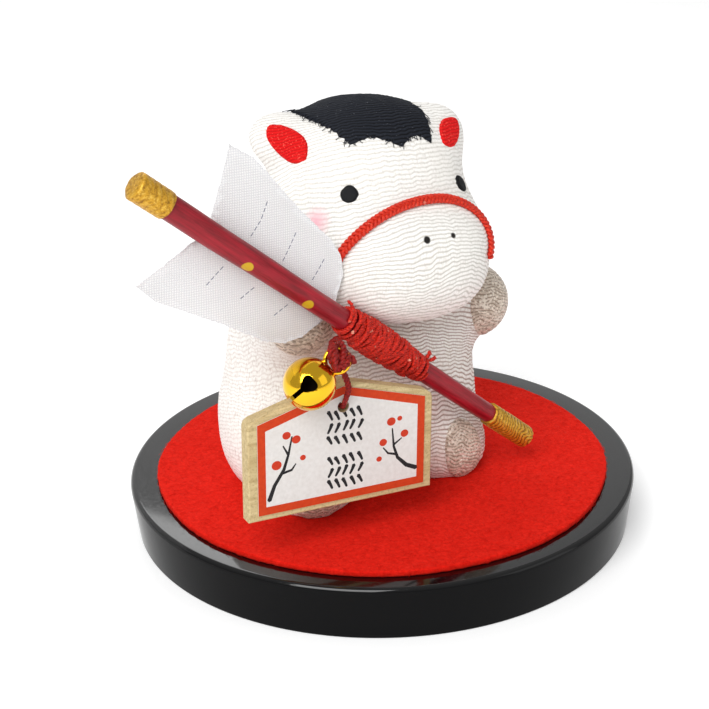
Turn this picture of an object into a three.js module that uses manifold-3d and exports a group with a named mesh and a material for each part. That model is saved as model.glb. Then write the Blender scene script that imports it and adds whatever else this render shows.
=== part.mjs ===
// A seated zodiac horse of white crepe cloth on a round lacquered stand. It hugs a lucky arrow that
// carries a jingle bell and a votive plaque. Units are millimetres, Z is up, the horse faces -Y, and
// the origin is the middle of the stand's underside. Right and left are the horse's own.
import * as THREE from 'three';
import { mergeVertices } from 'three/addons/utils/BufferGeometryUtils.js';
import Module from 'manifold-3d';

const wasm = await Module();
wasm.setup();

// Clearance between neighbouring pieces, and the glue between glued ones
const contactGap = 0.3;
const glueGap = 0.05;

// Stand and felt mat
const standRadius = 45;
const standFootRadius = 44.2;
const standHeight = 9.3;
const standEdgeRound = 0.9;
const feltRadius = 40;
const feltThickness = 1;
const feltShiftX = -0.8;
const feltShiftY = -1.4;
const feltCutWobble = 0.2;

// Horse: its height above the felt. Its forms are drawn 67 mm high and follow this height.
const figureHeight = 67;
const drawnHeight = 67;
const figureX = -6.2;
const headRoll = 6.5;
const headTurn = 3.5;
const patchThickness = 0.5;
const hoofClothThickness = 0.6;
const eyeDiameter = 2.8;
const eyeThickness = 0.4;
const bridleWidth = 1.9;
const bridleThickness = 1;

// Arrow. It leans in front of the horse, with its tip just above the felt.
const arrowLength = 90;
const arrowNockDiameter = 3.8;
const arrowTipDiameter = 3.2;
const arrowSlope = 39.7;
const arrowTurn = 3.6;
const arrowTipX = 19.1;
const arrowTipHeight = 5;
const arrowClearance = 0.54;
const capWall = 0.15;
const nockCapLength = 5.5;
const tipCapLength = 10.4;
const capEndThickness = 0.3;

// Fletching cloth, glued flat behind the shaft. It starts at its two swept-back tips.
const vaneThickness = 0.3;
const vaneStart = 9.9;
const vaneEndGap = 0.9;
const vaneNotch = 4.6;
const vaneHalfWidth = 12;
const vaneTilt = 4;

// Cord wound round the shaft, thickest in its upper half, and how far it ends from the tip
const wrapLength = 20;
const wrapTipDistance = 28.6;
const wrapEndThickness = 0.5;
const wrapBelly = 0.6;

// Jingle bell. Its axis runs from the slot to the ring, and its place counts from the winding's start.
const bellDiameter = 8;
const bellWall = 0.45;
const bellSlotWidth = 0.7;
const bellHoleDiameter = 2.3;
const bellRingDiameter = 4.3;
const bellRingWire = 0.7;
const bellAside = -9.4;
const bellFront = -7.4;
const bellDrop = -6.2;

// Votive plaque of thin board with a printed paper label. Its place counts from the winding's start.
const plaqueWidth = 31.8;
const plaqueSideHeight = 16.4;
const plaqueRoofRise = 4.4;
const plaqueThickness = 2.6;
const plaqueCornerCut = 0.9;
const plaqueRoll = 3;
const plaqueLean = 2.2;
const plaqueTurn = -2.6;
const plaqueAside = -3.5;
const plaqueFront = -5.6;
const plaqueDrop = -29;
const plaqueHoleDiameter = 2;
const plaqueHoleDrop = 4.2;
const labelThickness = 0.15;
const labelSideMargin = 1.5;
const labelFootMargin = 1;
const labelRoofMargin = 0.9;

// Cord that hangs the bell and the plaque from the winding
const hangCordDiameter = 1.1;

const deg = Math.PI / 180;
const feltTop = standHeight + glueGap + feltThickness;
const grow = figureHeight / drawnHeight;
const wrapStart = arrowLength - wrapTipDistance - wrapLength;
const vaneLength = wrapStart - vaneEndGap - vaneStart;

const colours = {
  lacquer: { color: 0x0b0b0d, roughness: 0.12, metalness: 0 },
  felt: { color: 0xdc1c14, roughness: 0.95, metalness: 0 },
  crepe: { color: 0xf1eee6, roughness: 0.85, metalness: 0 },
  blackCrepe: { color: 0x1d1f24, roughness: 0.85, metalness: 0 },
  redCrepe: { color: 0xdf2320, roughness: 0.8, metalness: 0 },
  lame: { color: 0xb5a392, roughness: 0.6, metalness: 0.3 },
  eye: { color: 0x15151a, roughness: 0.4, metalness: 0 },
  redCord: { color: 0xcf2418, roughness: 0.7, metalness: 0 },
  redWood: { color: 0x943032, roughness: 0.45, metalness: 0 },
  goldCrepe: { color: 0xcf9a2e, roughness: 0.5, metalness: 0.4 },
  vaneCloth: { color: 0xe9e7e8, roughness: 0.85, metalness: 0 },
  gold: { color: 0xf2b705, roughness: 0.15, metalness: 1 },
  board: { color: 0xcdb98a, roughness: 0.75, metalness: 0 },
  paper: { color: 0xdcd7d0, roughness: 0.7, metalness: 0 },
};

const vec = (x, y, z) => new THREE.Vector3(x, y, z);

// Forms. A form is a function of a point: negative inside, positive outside, about the distance in mm.

// A ball or rounded block. A higher squareness makes it boxier.
function ball(centre, radii, squareness = 2) {
  return (p) => {
    const [x, y, z] = [p.x - centre[0], p.y - centre[1], p.z - centre[2]];
    const shares = [x / radii[0], y / radii[1], z / radii[2]].map((share) => Math.abs(share) ** squareness);
    const gauge = Math.max((shares[0] + shares[1] + shares[2]) ** (1 / squareness), 1e-9);
    return Math.hypot(x, y, z) * (1 - 1 / gauge);
  };
}

// A limb with round ends of two radii
function limb(from, to, fromRadius, toRadius) {
  const start = vec(...from);
  const along = vec(...to).sub(start);
  return (p) => {
    const offset = p.clone().sub(start);
    const share = THREE.MathUtils.clamp(offset.dot(along) / along.lengthSq(), 0, 1);
    return offset.addScaledVector(along, -share).length() - THREE.MathUtils.lerp(fromRadius, toRadius, share);
  };
}

// Several forms melted together over a width
function melt(width, ...forms) {
  return (p) => forms.map((form) => form(p)).reduce((a, b) => {
    const overlap = Math.max(width - Math.abs(a - b), 0) / width;
    return Math.min(a, b) - (overlap * overlap * width) / 4;
  });
}

// A form drawn in its own frame, placed in the world by a matrix
function placed(form, matrix) {
  const inverse = matrix.clone().invert();
  const size = new THREE.Vector3().setFromMatrixScale(matrix).x;
  return (p) => form(p.clone().applyMatrix4(inverse)) * size;
}

// How far the outermost skin of a form lies from a centre, along a direction
function reach(form, centre, direction, offset = 0) {
  const value = (r) => form(centre.clone().addScaledVector(direction, r)) - offset;
  const searchStep = figureHeight / 60;
  let outside = figureHeight;
  let inside = outside - searchStep;
  while (inside > 0 && value(inside) > 0) {
    outside = inside;
    inside -= searchStep;
  }
  for (let i = 0; i < 30; i += 1) {
    const middle = (inside + outside) / 2;
    if (value(middle) > 0) outside = middle;
    else inside = middle;
  }
  return (inside + outside) / 2;
}

function meshFrom(points, faces) {
  const geometry = new THREE.BufferGeometry();
  geometry.setAttribute('position', new THREE.Float32BufferAttribute(points.flatMap((p) => [p.x, p.y, p.z]), 3));
  geometry.setIndex(faces.flat());
  return geometry;
}

// The whole skin of a form as a closed mesh, on rows from the lowest to the highest direction
function skin(form, centre, rows, columns, offset = 0) {
  const points = [];
  const faces = [];
  const at = (direction) => centre.clone().addScaledVector(direction, reach(form, centre, direction, offset));
  for (let row = 1; row < rows; row += 1) {
    const rise = -Math.PI / 2 + (Math.PI * row) / rows;
    for (let column = 0; column < columns; column += 1) {
      const turn = (2 * Math.PI * column) / columns;
      points.push(at(vec(Math.cos(rise) * Math.cos(turn), Math.cos(rise) * Math.sin(turn), Math.sin(rise))));
    }
  }
  const bottom = points.push(at(vec(0, 0, -1))) - 1;
  const top = points.push(at(vec(0, 0, 1))) - 1;
  const lastRow = (rows - 2) * columns;
  for (let column = 0; column < columns; column += 1) {
    const next = (column + 1) % columns;
    faces.push([bottom, next, column]);
    faces.push([top, lastRow + column, lastRow + next]);
    for (let start = 0; start < lastRow; start += columns) {
      const above = start + columns;
      faces.push([start + column, start + next, above + next]);
      faces.push([start + column, above + next, above + column]);
    }
  }
  return meshFrom(points, faces);
}

// A cloth patch on a form. It spreads round an aim from a centre, inside a border of [u, v] points in
// mm along the skin, counted to the right of the aim and upwards, and it runs anticlockwise.
function patch(form, centre, aim, upwards, border, thickness, rings) {
  const middle = aim.clone().normalize();
  const right = upwards.clone().cross(middle).normalize();
  const up = middle.clone().cross(right);
  const depth = reach(form, centre, middle);
  const spokes = border.length;
  const points = [];
  const faces = [];
  for (const offset of [contactGap + thickness, contactGap]) {
    points.push(centre.clone().addScaledVector(middle, reach(form, centre, middle, offset)));
    for (let ring = 1; ring <= rings; ring += 1) {
      for (const [u, v] of border) {
        const spread = Math.hypot(u, v);
        const bend = (grow * spread * ring) / rings / depth;
        const aside = right.clone().multiplyScalar(u / spread).addScaledVector(up, v / spread);
        const direction = middle.clone().multiplyScalar(Math.cos(bend)).addScaledVector(aside, Math.sin(bend));
        points.push(centre.clone().addScaledVector(direction, reach(form, centre, direction, offset)));
      }
    }
  }
  const layer = 1 + rings * spokes;
  const rim = 1 + (rings - 1) * spokes;
  for (let spoke = 0; spoke < spokes; spoke += 1) {
    const next = (spoke + 1) % spokes;
    faces.push([0, 1 + spoke, 1 + next], [layer, layer + 1 + next, layer + 1 + spoke]);
    for (let start = 1; start < rim; start += spokes) {
      const [p, q, r, s] = [start + spoke, start + next, start + spokes + next, start + spokes + spoke];
      faces.push([p, r, q], [p, s, r]);
      faces.push([layer + p, layer + q, layer + r], [layer + p, layer + r, layer + s]);
    }
    faces.push([rim + spoke, layer + rim + next, rim + next], [rim + spoke, layer + rim + spoke, layer + rim + next]);
  }
  return meshFrom(points, faces);
}

// An oval border, longer along a direction that is tilted from the right hand side
function oval(halfLength, halfWidth, tilt = 0, count = 16) {
  return Array.from({ length: count }, (_, i) => {
    const turn = (2 * Math.PI * i) / count;
    const [along, across] = [halfLength * Math.cos(turn), halfWidth * Math.sin(turn)];
    return [
      along * Math.cos(tilt * deg) - across * Math.sin(tilt * deg),
      along * Math.sin(tilt * deg) + across * Math.cos(tilt * deg),
    ];
  });
}

// A leaf border: two arcs that meet in points
function leaf(halfLength, halfWidth, tilt = 0, count = 16) {
  return Array.from({ length: count }, (_, i) => {
    const share = (4 * i) / count;
    const along = share < 2 ? 1 - share : share - 3;
    const across = Math.sign(share < 2 ? 1 : -1) * (1 - along * along);
    const [u, v] = [halfLength * along, halfWidth * across];
    return [u * Math.cos(tilt * deg) - v * Math.sin(tilt * deg), u * Math.sin(tilt * deg) + v * Math.cos(tilt * deg)];
  });
}

// A closed border with extra points along its straight edges
function alongEdges(corners, step) {
  return corners.flatMap(([u, v], i) => {
    const [nextU, nextV] = corners[(i + 1) % corners.length];
    const count = Math.max(1, Math.round(Math.hypot(nextU - u, nextV - v) / step));
    return Array.from({ length: count }, (_, k) => [u + ((nextU - u) * k) / count, v + ((nextV - v) * k) / count]);
  });
}

// Joins and cuts

function solid(geometry) {
  const plain = geometry.clone();
  plain.deleteAttribute('normal');
  plain.deleteAttribute('uv');
  const merged = mergeVertices(plain, 1e-4);
  const vertProperties = new Float32Array(merged.attributes.position.array);
  const triVerts = new Uint32Array(merged.index.array);
  return new wasm.Manifold(new wasm.Mesh({ numProp: 3, vertProperties, triVerts }));
}

function unsolid(manifold) {
  const mesh = manifold.getMesh();
  const geometry = new THREE.BufferGeometry();
  geometry.setAttribute('position', new THREE.BufferAttribute(new Float32Array(mesh.vertProperties), 3));
  geometry.setIndex(new THREE.BufferAttribute(new Uint32Array(mesh.triVerts), 1));
  return geometry;
}

const cut = (geometry, ...cutters) =>
  unsolid(cutters.reduce((rest, cutter) => rest.subtract(solid(cutter)), solid(geometry)));

const join = (geometry, ...others) =>
  unsolid(others.reduce((whole, other) => whole.add(solid(other)), solid(geometry)));

const group = new THREE.Group();

function add(name, geometry, finish, matrix = new THREE.Matrix4()) {
  const plain = geometry.clone();
  plain.deleteAttribute('normal');
  plain.deleteAttribute('uv');
  const merged = mergeVertices(plain, 1e-5);
  merged.applyMatrix4(matrix);
  merged.computeVertexNormals();
  const mesh = new THREE.Mesh(merged, new THREE.MeshStandardMaterial({ ...colours[finish], flatShading: true }));
  mesh.name = name;
  group.add(mesh);
}

// A turned shape about Z from [radius, z] corners
function turned(corners, segments) {
  const geometry = new THREE.LatheGeometry(corners.map(([radius, z]) => new THREE.Vector2(radius, z)), segments);
  return geometry.rotateX(Math.PI / 2);
}

// Stand: a flat disc with a slight taper to its foot and a rounded upper edge
function makeStand() {
  const edgeSteps = 3;
  const corners = [[0, 0], [standFootRadius, 0]];
  for (let step = 0; step <= edgeSteps; step += 1) {
    const angle = (step / edgeSteps) * 90 * deg;
    corners.push([
      standRadius - standEdgeRound * (1 - Math.cos(angle)),
      standHeight - standEdgeRound * (1 - Math.sin(angle)),
    ]);
  }
  corners.push([0, standHeight]);
  add('stand', turned(corners, 54), 'lacquer');
}

// Felt mat: a disc cut by hand, so its edge wanders a little
function makeFelt() {
  const segments = 48;
  const outline = new THREE.Shape(Array.from({ length: segments }, (_, i) => {
    const turn = (2 * Math.PI * i) / segments;
    const radius = feltRadius - feltCutWobble + feltCutWobble * Math.sin(3 * turn) * Math.sin(5 * turn + 1);
    return new THREE.Vector2(radius * Math.cos(turn), radius * Math.sin(turn));
  }));
  const disc = new THREE.ExtrudeGeometry(outline, { depth: feltThickness, bevelEnabled: false });
  add('felt_mat', disc.translate(feltShiftX, feltShiftY, standHeight + glueGap), 'felt');
}

// Horse. Its own frame stands on the felt below the middle of the body.
const figureFrame = new THREE.Matrix4().makeTranslation(figureX, 0, feltTop)
  .multiply(new THREE.Matrix4().makeScale(grow, grow, grow));
const headFrame = figureFrame.clone()
  .multiply(new THREE.Matrix4().makeTranslation(3.9, 0, 45.4))
  .multiply(new THREE.Matrix4().makeRotationZ(headTurn * deg))
  .multiply(new THREE.Matrix4().makeRotationY(headRoll * deg));

// Places in the figure's frame: the round ends of the arms and legs
const handRight = [-14.2, -10.5, 33.5];
const handLeft = [22.8, -4, 27];
const handRightRadius = 5.2;
const handLeftRadius = 6;
const footSpread = 13.2;
const footRadius = 7.3;
const footRight = [-footSpread, -9.5, 4];
const footLeft = [footSpread, -9.5, 4];

const bodyForm = placed(melt(
  5,
  ball([0, 0.4, 11], [23.5, 14.5, 18.5], 2.4),
  limb([-12, 1, 26], handRight, 9, handRightRadius),
  limb([12, 1, 24], handLeft, 9, handLeftRadius),
  limb([-10, -2, 7], footRight, 8, footRadius),
  limb([10, -2, 7], footLeft, 8, footRadius),
), figureFrame);

const headForm = placed(melt(
  6,
  ball([0, 0.5, 2.4], [16, 14.5, 16.4], 2.4),
  ball([0, -5.4, -4.8], [17, 16.7, 11.3], 2.5),
  ball([-15.8, 3.8, 12.4], [4.2, 4, 3.6]),
  ball([11.6, -2.9, 13.8], [3.5, 3.4, 3.5]),
), headFrame);

const inFigure = (x, y, z) => vec(x, y, z).applyMatrix4(figureFrame);
const inHead = (x, y, z) => vec(x, y, z).applyMatrix4(headFrame);
const headCentre = inHead(0, -1, 0);
const turnOf = (frame) => new THREE.Matrix4().extractRotation(frame);
const headWay = (x, y, z) => vec(x, y, z).applyMatrix4(turnOf(headFrame));
const upright = vec(0, 0, 1);

const bodySkin = (offset) => skin(bodyForm, inFigure(0, 0, 17), 22, 36, offset);
const headSkin = (offset) => skin(headForm, headCentre, 24, 38, offset);
const headRoom = headSkin(contactGap);
const belowFelt = new THREE.BoxGeometry(4 * standRadius, 4 * standRadius, standRadius)
  .translate(0, 0, feltTop + glueGap - standRadius / 2);

function makeBody() {
  add('body', cut(bodySkin(0), headRoom, belowFelt), 'crepe');
}

function makeHead() {
  add('head', headSkin(0), 'crepe');
}

// Mane: a black cloth cap with a toothed fringe, running down the back of the head
function makeMane() {
  const border = [
    [5.5, 1.5], [5, 9], [4.5, 24], [2, 27], [-2, 27], [-4.5, 24], [-6, 12], [-12.5, 7.8],
    [-11.2, 0.1], [-10.4, -4.6], [-6.9, -4.9], [-1.8, -7.7], [0.8, -6], [2.7, -6], [4.8, -7.1], [5.9, -0.7],
  ];
  const aim = headWay(0, -0.25, 1);
  const back = headWay(0, 1, 0);
  const cap = patch(headForm, headCentre, aim, back, alongEdges(border, 3.2), patchThickness, 5);
  add('mane', cut(cap, headSkin(contactGap / 2)), 'blackCrepe');
}

// Red ear linings and black eyes. The two sides were set by hand, so they differ a little.
function makeFace() {
  const sides = [
    { name: 'right', earAim: [-16.2, -0.5, 12.3], lining: leaf(2.8, 2.2, -14), eyeAim: [-11.2, -10.9, 6.3] },
    { name: 'left', earAim: [9.5, -7.4, 14.2], lining: leaf(3, 2.1, 0), eyeAim: [9.6, -11.4, 6.8] },
  ];
  const eye = oval(eyeDiameter / 2 / grow, eyeDiameter / 2 / grow);
  for (const { name, earAim, lining, eyeAim } of sides) {
    const lay = (aim, border, thickness, rings) => cut(
      patch(headForm, headCentre, headWay(...aim), upright, border, thickness, rings),
      headSkin(contactGap / 2),
    );
    add(`ear_lining_${name}`, lay(earAim, lining, patchThickness, 2), 'redCrepe');
    add(`eye_${name}`, lay(eyeAim, eye, eyeThickness, 1), 'eye');
  }
}

// A closed band through a row of frames. Its section is an oval, as wide along side as it is thick
// along out.
function band(frames, width, thickness, sides) {
  const points = [];
  const faces = [];
  for (const { middle, side, out } of frames) {
    for (let k = 0; k < sides; k += 1) {
      const turn = (2 * Math.PI * (k + 0.5)) / sides;
      points.push(middle.clone()
        .addScaledVector(side, (width / 2) * Math.cos(turn))
        .addScaledVector(out, (thickness / 2) * Math.sin(turn)));
    }
  }
  const last = (frames.length - 1) * sides;
  for (let start = 0; start < last; start += sides) {
    for (let k = 0; k < sides; k += 1) {
      const [p, q] = [start + k, start + ((k + 1) % sides)];
      faces.push([p, q, q + sides], [p, q + sides, p + sides]);
    }
  }
  for (let k = 1; k < sides - 1; k += 1) {
    faces.push([0, k + 1, k], [last, last + k, last + k + 1]);
  }
  return meshFrom(points, faces);
}

// Bridle: a braid laid over the nose from cheek to cheek. Seen from the front it is two quarter
// ovals that meet at the top of the nose, each with its breadth and its drop.
const bridleTop = [1.6, 5.5];
const bridleRight = [16.6, 10.2];
const bridleLeft = [10.7, 6.8];

function makeBridle() {
  const steps = 24;
  const firstTurn = -80;
  const lastTurn = 112;
  const forward = headWay(0, -1, 0);
  const path = Array.from({ length: steps + 1 }, (_, i) => {
    const turn = THREE.MathUtils.lerp(firstTurn, lastTurn, i / steps) * deg;
    const [breadth, drop] = turn < 0 ? bridleRight : bridleLeft;
    const start = inHead(
      bridleTop[0] + breadth * Math.sin(turn), 0, bridleTop[1] - drop * (1 - Math.cos(turn)),
    );
    return start.addScaledVector(forward, reach(headForm, start, forward));
  });
  const frames = path.map((point, i) => {
    const along = path[Math.min(i + 1, steps)].clone().sub(path[Math.max(i - 1, 0)]).normalize();
    const out = slopeOf(headForm, point);
    const side = out.clone().cross(along).normalize();
    return { middle: point.clone().addScaledVector(out, contactGap + bridleThickness / 2), side, out };
  });
  add('bridle', band(frames, bridleWidth, bridleThickness, 8), 'redCord');
}

// Hooves: lame crepe wrapped over the ends of the arms and legs
function makeHooves() {
  const hooves = [
    ['hoof_hand_right', handRight, [-0.3, -1, 0.1], oval(7.6, 7)],
    ['hoof_hand_left', handLeft, [0.65, -0.75, 0.1], oval(7.8, 7.6)],
    ['hoof_foot_right', footRight, [-0.3, -1, 0.1], oval(5, 5.6)],
    ['hoof_foot_left', footLeft, [0.02, -1, 0.14], oval(3.7, 5.6)],
  ];
  for (const [name, end, aim, border] of hooves) {
    const cloth = patch(bodyForm, inFigure(...end), vec(...aim), upright, border, hoofClothThickness, 3);
    add(name, cut(cloth, bodySkin(contactGap / 2), headRoom, belowFelt), 'lame');
  }
}

// Arrow. In its own frame X runs from the nock to the tip, Y points back and Z up.
const arrowSides = 12;
const shaftRadius = (along) =>
  THREE.MathUtils.lerp(arrowNockDiameter, arrowTipDiameter, along / arrowLength) / 2;
const alongArrow = (corners) => turned(corners, arrowSides).rotateY(Math.PI / 2);

// One edge of the fletching, along the arrow and across it. The other edge mirrors it.
const vaneEdge = [
  [0, 1], [0.14, 1.04], [0.3, 0.96], [0.5, 0.86], [0.78, 0.76], [0.88, 0.66], [0.95, 0.48], [1, 0.14],
].map(([along, across]) => [vaneStart + along * vaneLength, across * vaneHalfWidth]);
const vaneFront = shaftRadius(vaneStart) + glueGap;

// Where the arrow's frame lies. Its tip is given across and in height, and the arrow comes as far
// forward as the parts of the horse behind its shaft and its fletching need.
function placeArrow() {
  const turns = new THREE.Matrix4().makeRotationZ(arrowTurn * deg)
    .multiply(new THREE.Matrix4().makeRotationY(arrowSlope * deg));
  const tip = vec(arrowTipX, 0, feltTop + arrowTipHeight);
  const nock = tip.clone().sub(vec(arrowLength, 0, 0).applyMatrix4(turns));
  const backs = [];
  const rows = 30;
  for (let row = 0; row <= rows; row += 1) {
    const along = (arrowLength * row) / rows;
    backs.push(...[-1, 0, 1].map((side) => vec(along, shaftRadius(along), side * shaftRadius(along))));
  }
  for (const [along, across] of vaneEdge) {
    const lean = across * Math.tan(vaneTilt * deg);
    backs.push(vec(along, vaneFront + vaneThickness - lean, across));
    backs.push(vec(along, vaneFront + vaneThickness + lean, -across));
  }
  const forward = vec(0, -1, 0);
  const needs = backs.map((back) => {
    const place = back.applyMatrix4(turns).add(nock);
    const start = vec(place.x, 0, place.z);
    const horse = Math.max(
      reach(bodyForm, start, forward, contactGap + hoofClothThickness),
      reach(headForm, start, forward, contactGap),
    );
    return place.y + horse;
  });
  return new THREE.Matrix4().makeTranslation(nock.x, nock.y - Math.max(...needs) - arrowClearance, nock.z)
    .multiply(turns);
}

const arrowFrame = placeArrow();
const hangPlace = vec(wrapStart, 0, 0).applyMatrix4(arrowFrame);

function makeShaft() {
  const corners = [[0, 0], [shaftRadius(0), 0], [shaftRadius(arrowLength), arrowLength], [0, arrowLength]];
  add('arrow_shaft', alongArrow(corners), 'redWood', arrowFrame);
}

// Gold crepe caps: cups pulled over both ends of the shaft
function makeCaps() {
  const cup = (name, end, mouth) => {
    const outward = Math.sign(end - mouth);
    const floor = end + outward * glueGap;
    const bottom = floor + outward * capEndThickness;
    const inner = (along) => shaftRadius(along) + glueGap;
    const corners = [
      [0, bottom], [inner(end), bottom], [inner(end) + capWall, floor],
      [inner(mouth) + capWall, mouth], [inner(mouth), mouth], [inner(end), floor], [0, floor],
    ];
    add(name, alongArrow(outward > 0 ? corners.reverse() : corners), 'goldCrepe', arrowFrame);
  };
  cup('arrow_nock_cap', 0, nockCapLength);
  cup('arrow_tip_cap', arrowLength, arrowLength - tipCapLength);
}

// Fletching: one sheet of stiff cloth with a vane on each side of the shaft
function makeFletching() {
  const lower = vaneEdge.map(([along, across]) => [along, -across]).reverse();
  const outline = [...vaneEdge, ...lower, [vaneStart + vaneNotch, 0]];
  const shape = new THREE.Shape(outline.map(([along, across]) => new THREE.Vector2(along, across)));
  const sheet = new THREE.ExtrudeGeometry(shape, { depth: vaneThickness, bevelEnabled: false });
  sheet.rotateX(Math.PI / 2).translate(0, vaneFront + vaneThickness, 0).rotateX(vaneTilt * deg);
  add('fletching', sheet, 'vaneCloth', arrowFrame);
}

// Cord winding: a sleeve round the shaft with the outer shape of its turns
const wrapRadius = (along) => {
  const share = (along - wrapStart) / wrapLength;
  return shaftRadius(along) + glueGap + wrapEndThickness + wrapBelly * Math.sin(Math.PI * share ** 0.7);
};

function makeWrap() {
  const steps = 10;
  const bore = (along) => [shaftRadius(along) + glueGap, along];
  const corners = [bore(wrapStart)];
  for (let step = 0; step <= steps; step += 1) {
    const along = wrapStart + (wrapLength * step) / steps;
    corners.push([wrapRadius(along), along]);
  }
  corners.push(bore(wrapStart + wrapLength), bore(wrapStart));
  add('cord_wrap', alongArrow(corners), 'redCord', arrowFrame);
}

// Jingle bell. In its own frame Z runs from the slot to the ring and -Y is the face with the keyhole.
const bellAxis = vec(0.801, -0.169, 0.574);
const bellFace = vec(-0.446, -0.808, 0.384);
const bellBack = bellFace.clone().negate();
const bellSide = bellBack.clone().cross(bellAxis).normalize();
const bellFrame = new THREE.Matrix4()
  .makeBasis(bellSide, bellAxis.clone().cross(bellSide).normalize(), bellAxis.clone().normalize())
  .setPosition(hangPlace.clone().add(vec(bellAside, bellFront, bellDrop)));

function makeBell() {
  const radius = bellDiameter / 2;
  const hollow = radius - bellWall;
  const slotFront = 1.5 * radius;
  const slotBack = 0.4 * radius;
  const slot = new THREE.BoxGeometry(bellSlotWidth, slotFront + slotBack, radius)
    .translate(0, (slotBack - slotFront) / 2, -radius / 2);
  const hole = new THREE.CylinderGeometry(bellHoleDiameter / 2, bellHoleDiameter / 2, slotFront, 14)
    .translate(0, -slotFront / 2, 0);
  const ringRadius = (bellRingDiameter - bellRingWire) / 2;
  const ring = new THREE.TorusGeometry(ringRadius, bellRingWire / 2, 6, 16)
    .rotateX(Math.PI / 2)
    .translate(0, 0, radius + ringRadius - bellWall);
  const shell = cut(new THREE.SphereGeometry(radius, 20, 14), slot, hole);
  const inside = new THREE.SphereGeometry(hollow, 16, 10);
  add('bell', cut(join(shell, ring), inside), 'gold', bellFrame);
}

// Plaque. Its own frame starts at the middle of the front face's lower edge, with Z up the board.
const plaqueFrame = new THREE.Matrix4()
  .setPosition(hangPlace.clone().add(vec(plaqueAside, plaqueFront, plaqueDrop)))
  .multiply(new THREE.Matrix4().makeRotationZ(plaqueTurn * deg))
  .multiply(new THREE.Matrix4().makeRotationX(-plaqueLean * deg))
  .multiply(new THREE.Matrix4().makeRotationY(plaqueRoll * deg));
const plaqueApex = plaqueSideHeight + plaqueRoofRise;
const holeHeight = plaqueApex - plaqueHoleDrop;

// A house-shaped plate with the cord hole, from half of its outline, which starts at its lower edge
function gable(half, front, thickness) {
  const outline = [...half, ...half.slice(0, -1).reverse().map(([x, z]) => [-x, z])];
  const shape = new THREE.Shape(outline.map(([x, z]) => new THREE.Vector2(x, z)));
  shape.holes.push(new THREE.Path().absarc(0, holeHeight, plaqueHoleDiameter / 2, 0, 2 * Math.PI));
  const plate = new THREE.ExtrudeGeometry(shape, { depth: thickness, bevelEnabled: false, curveSegments: 7 });
  return plate.rotateX(Math.PI / 2).translate(0, front + thickness, 0);
}

function makePlaque() {
  const halfWidth = plaqueWidth / 2;
  const slope = plaqueRoofRise / halfWidth;
  const board = [
    [halfWidth, 0],
    [halfWidth, plaqueSideHeight - plaqueCornerCut],
    [halfWidth - plaqueCornerCut, plaqueSideHeight + plaqueCornerCut * slope],
    [0, plaqueApex],
  ];
  add('plaque_board', gable(board, 0, plaqueThickness), 'board', plaqueFrame);
  const labelHalf = halfWidth - labelSideMargin;
  const labelApex = plaqueApex - labelRoofMargin;
  const label = [[labelHalf, labelFootMargin], [labelHalf, labelApex - slope * labelHalf], [0, labelApex]];
  add('plaque_label', gable(label, -glueGap - labelThickness, labelThickness), 'paper', plaqueFrame);
}

// Hanging cord: from the winding through the bell's ring and the plaque's hole, and up again behind
function makeHangingCord() {
  const inPlaque = (x, y, z) => vec(x, y, z).applyMatrix4(plaqueFrame);
  const ringMiddle = (bellDiameter + bellRingDiameter - bellRingWire) / 2 - bellWall;
  const ring = vec(0, 0, ringMiddle).applyMatrix4(bellFrame);
  const clear = hangCordDiameter / 2 + contactGap;
  const below = (along, front, down, distance) => {
    const way = vec(0, -front, -down).normalize().multiplyScalar(wrapRadius(along) + distance);
    return vec(along, way.y, way.z).applyMatrix4(arrowFrame);
  };
  const points = [
    below(wrapStart + 1.4, 0.35, 0.95, contactGap),
    below(wrapStart + 1.2, 0.5, 0.95, 1.6),
    ring.clone().addScaledVector(bellFace, 1.3).add(vec(0.3, 0.2, 0.5)),
    ring,
    ring.clone().addScaledVector(bellFace, -1.2).add(vec(0.1, 0.1, -0.1)),
    inPlaque(0.1, -labelThickness - clear - 0.7, plaqueApex - 0.5),
    inPlaque(0, -labelThickness - clear, holeHeight + 1.5),
    inPlaque(0, 0.1, holeHeight),
    inPlaque(0, plaqueThickness - 0.1, holeHeight),
    inPlaque(0, plaqueThickness + clear, holeHeight + 1.6),
    inPlaque(0.3, plaqueThickness + clear, plaqueApex),
    below(wrapStart + 2.6, -0.4, 0.95, 1.6),
    below(wrapStart + 2.8, -0.4, 0.95, contactGap),
  ];
  const curve = new THREE.CatmullRomCurve3(points, false, 'centripetal');
  const steps = 38;
  const { normals, binormals } = curve.computeFrenetFrames(steps);
  const frames = normals.map((normal, i) => ({
    middle: curve.getPointAt(i / steps), side: normal, out: binormals[i],
  }));
  add('hanging_cord', band(frames, hangCordDiameter, hangCordDiameter, 6), 'redCord');
}

// The outward direction of a form at a point
function slopeOf(form, point) {
  const step = 0.05;
  const along = (x, y, z) => form(point.clone().add(vec(x, y, z))) - form(point.clone().sub(vec(x, y, z)));
  return vec(along(step, 0, 0), along(0, step, 0), along(0, 0, step)).normalize();
}

makeStand();
makeFelt();
makeBody();
makeHead();
makeMane();
makeFace();
makeBridle();
makeHooves();
makeShaft();
makeCaps();
makeFletching();
makeWrap();
makeBell();
makePlaque();
makeHangingCord();

export default group;
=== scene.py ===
import math

import bmesh
import bpy
import numpy as np
from mathutils import Matrix, Vector
from mathutils.geometry import delaunay_2d_cdt


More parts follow.
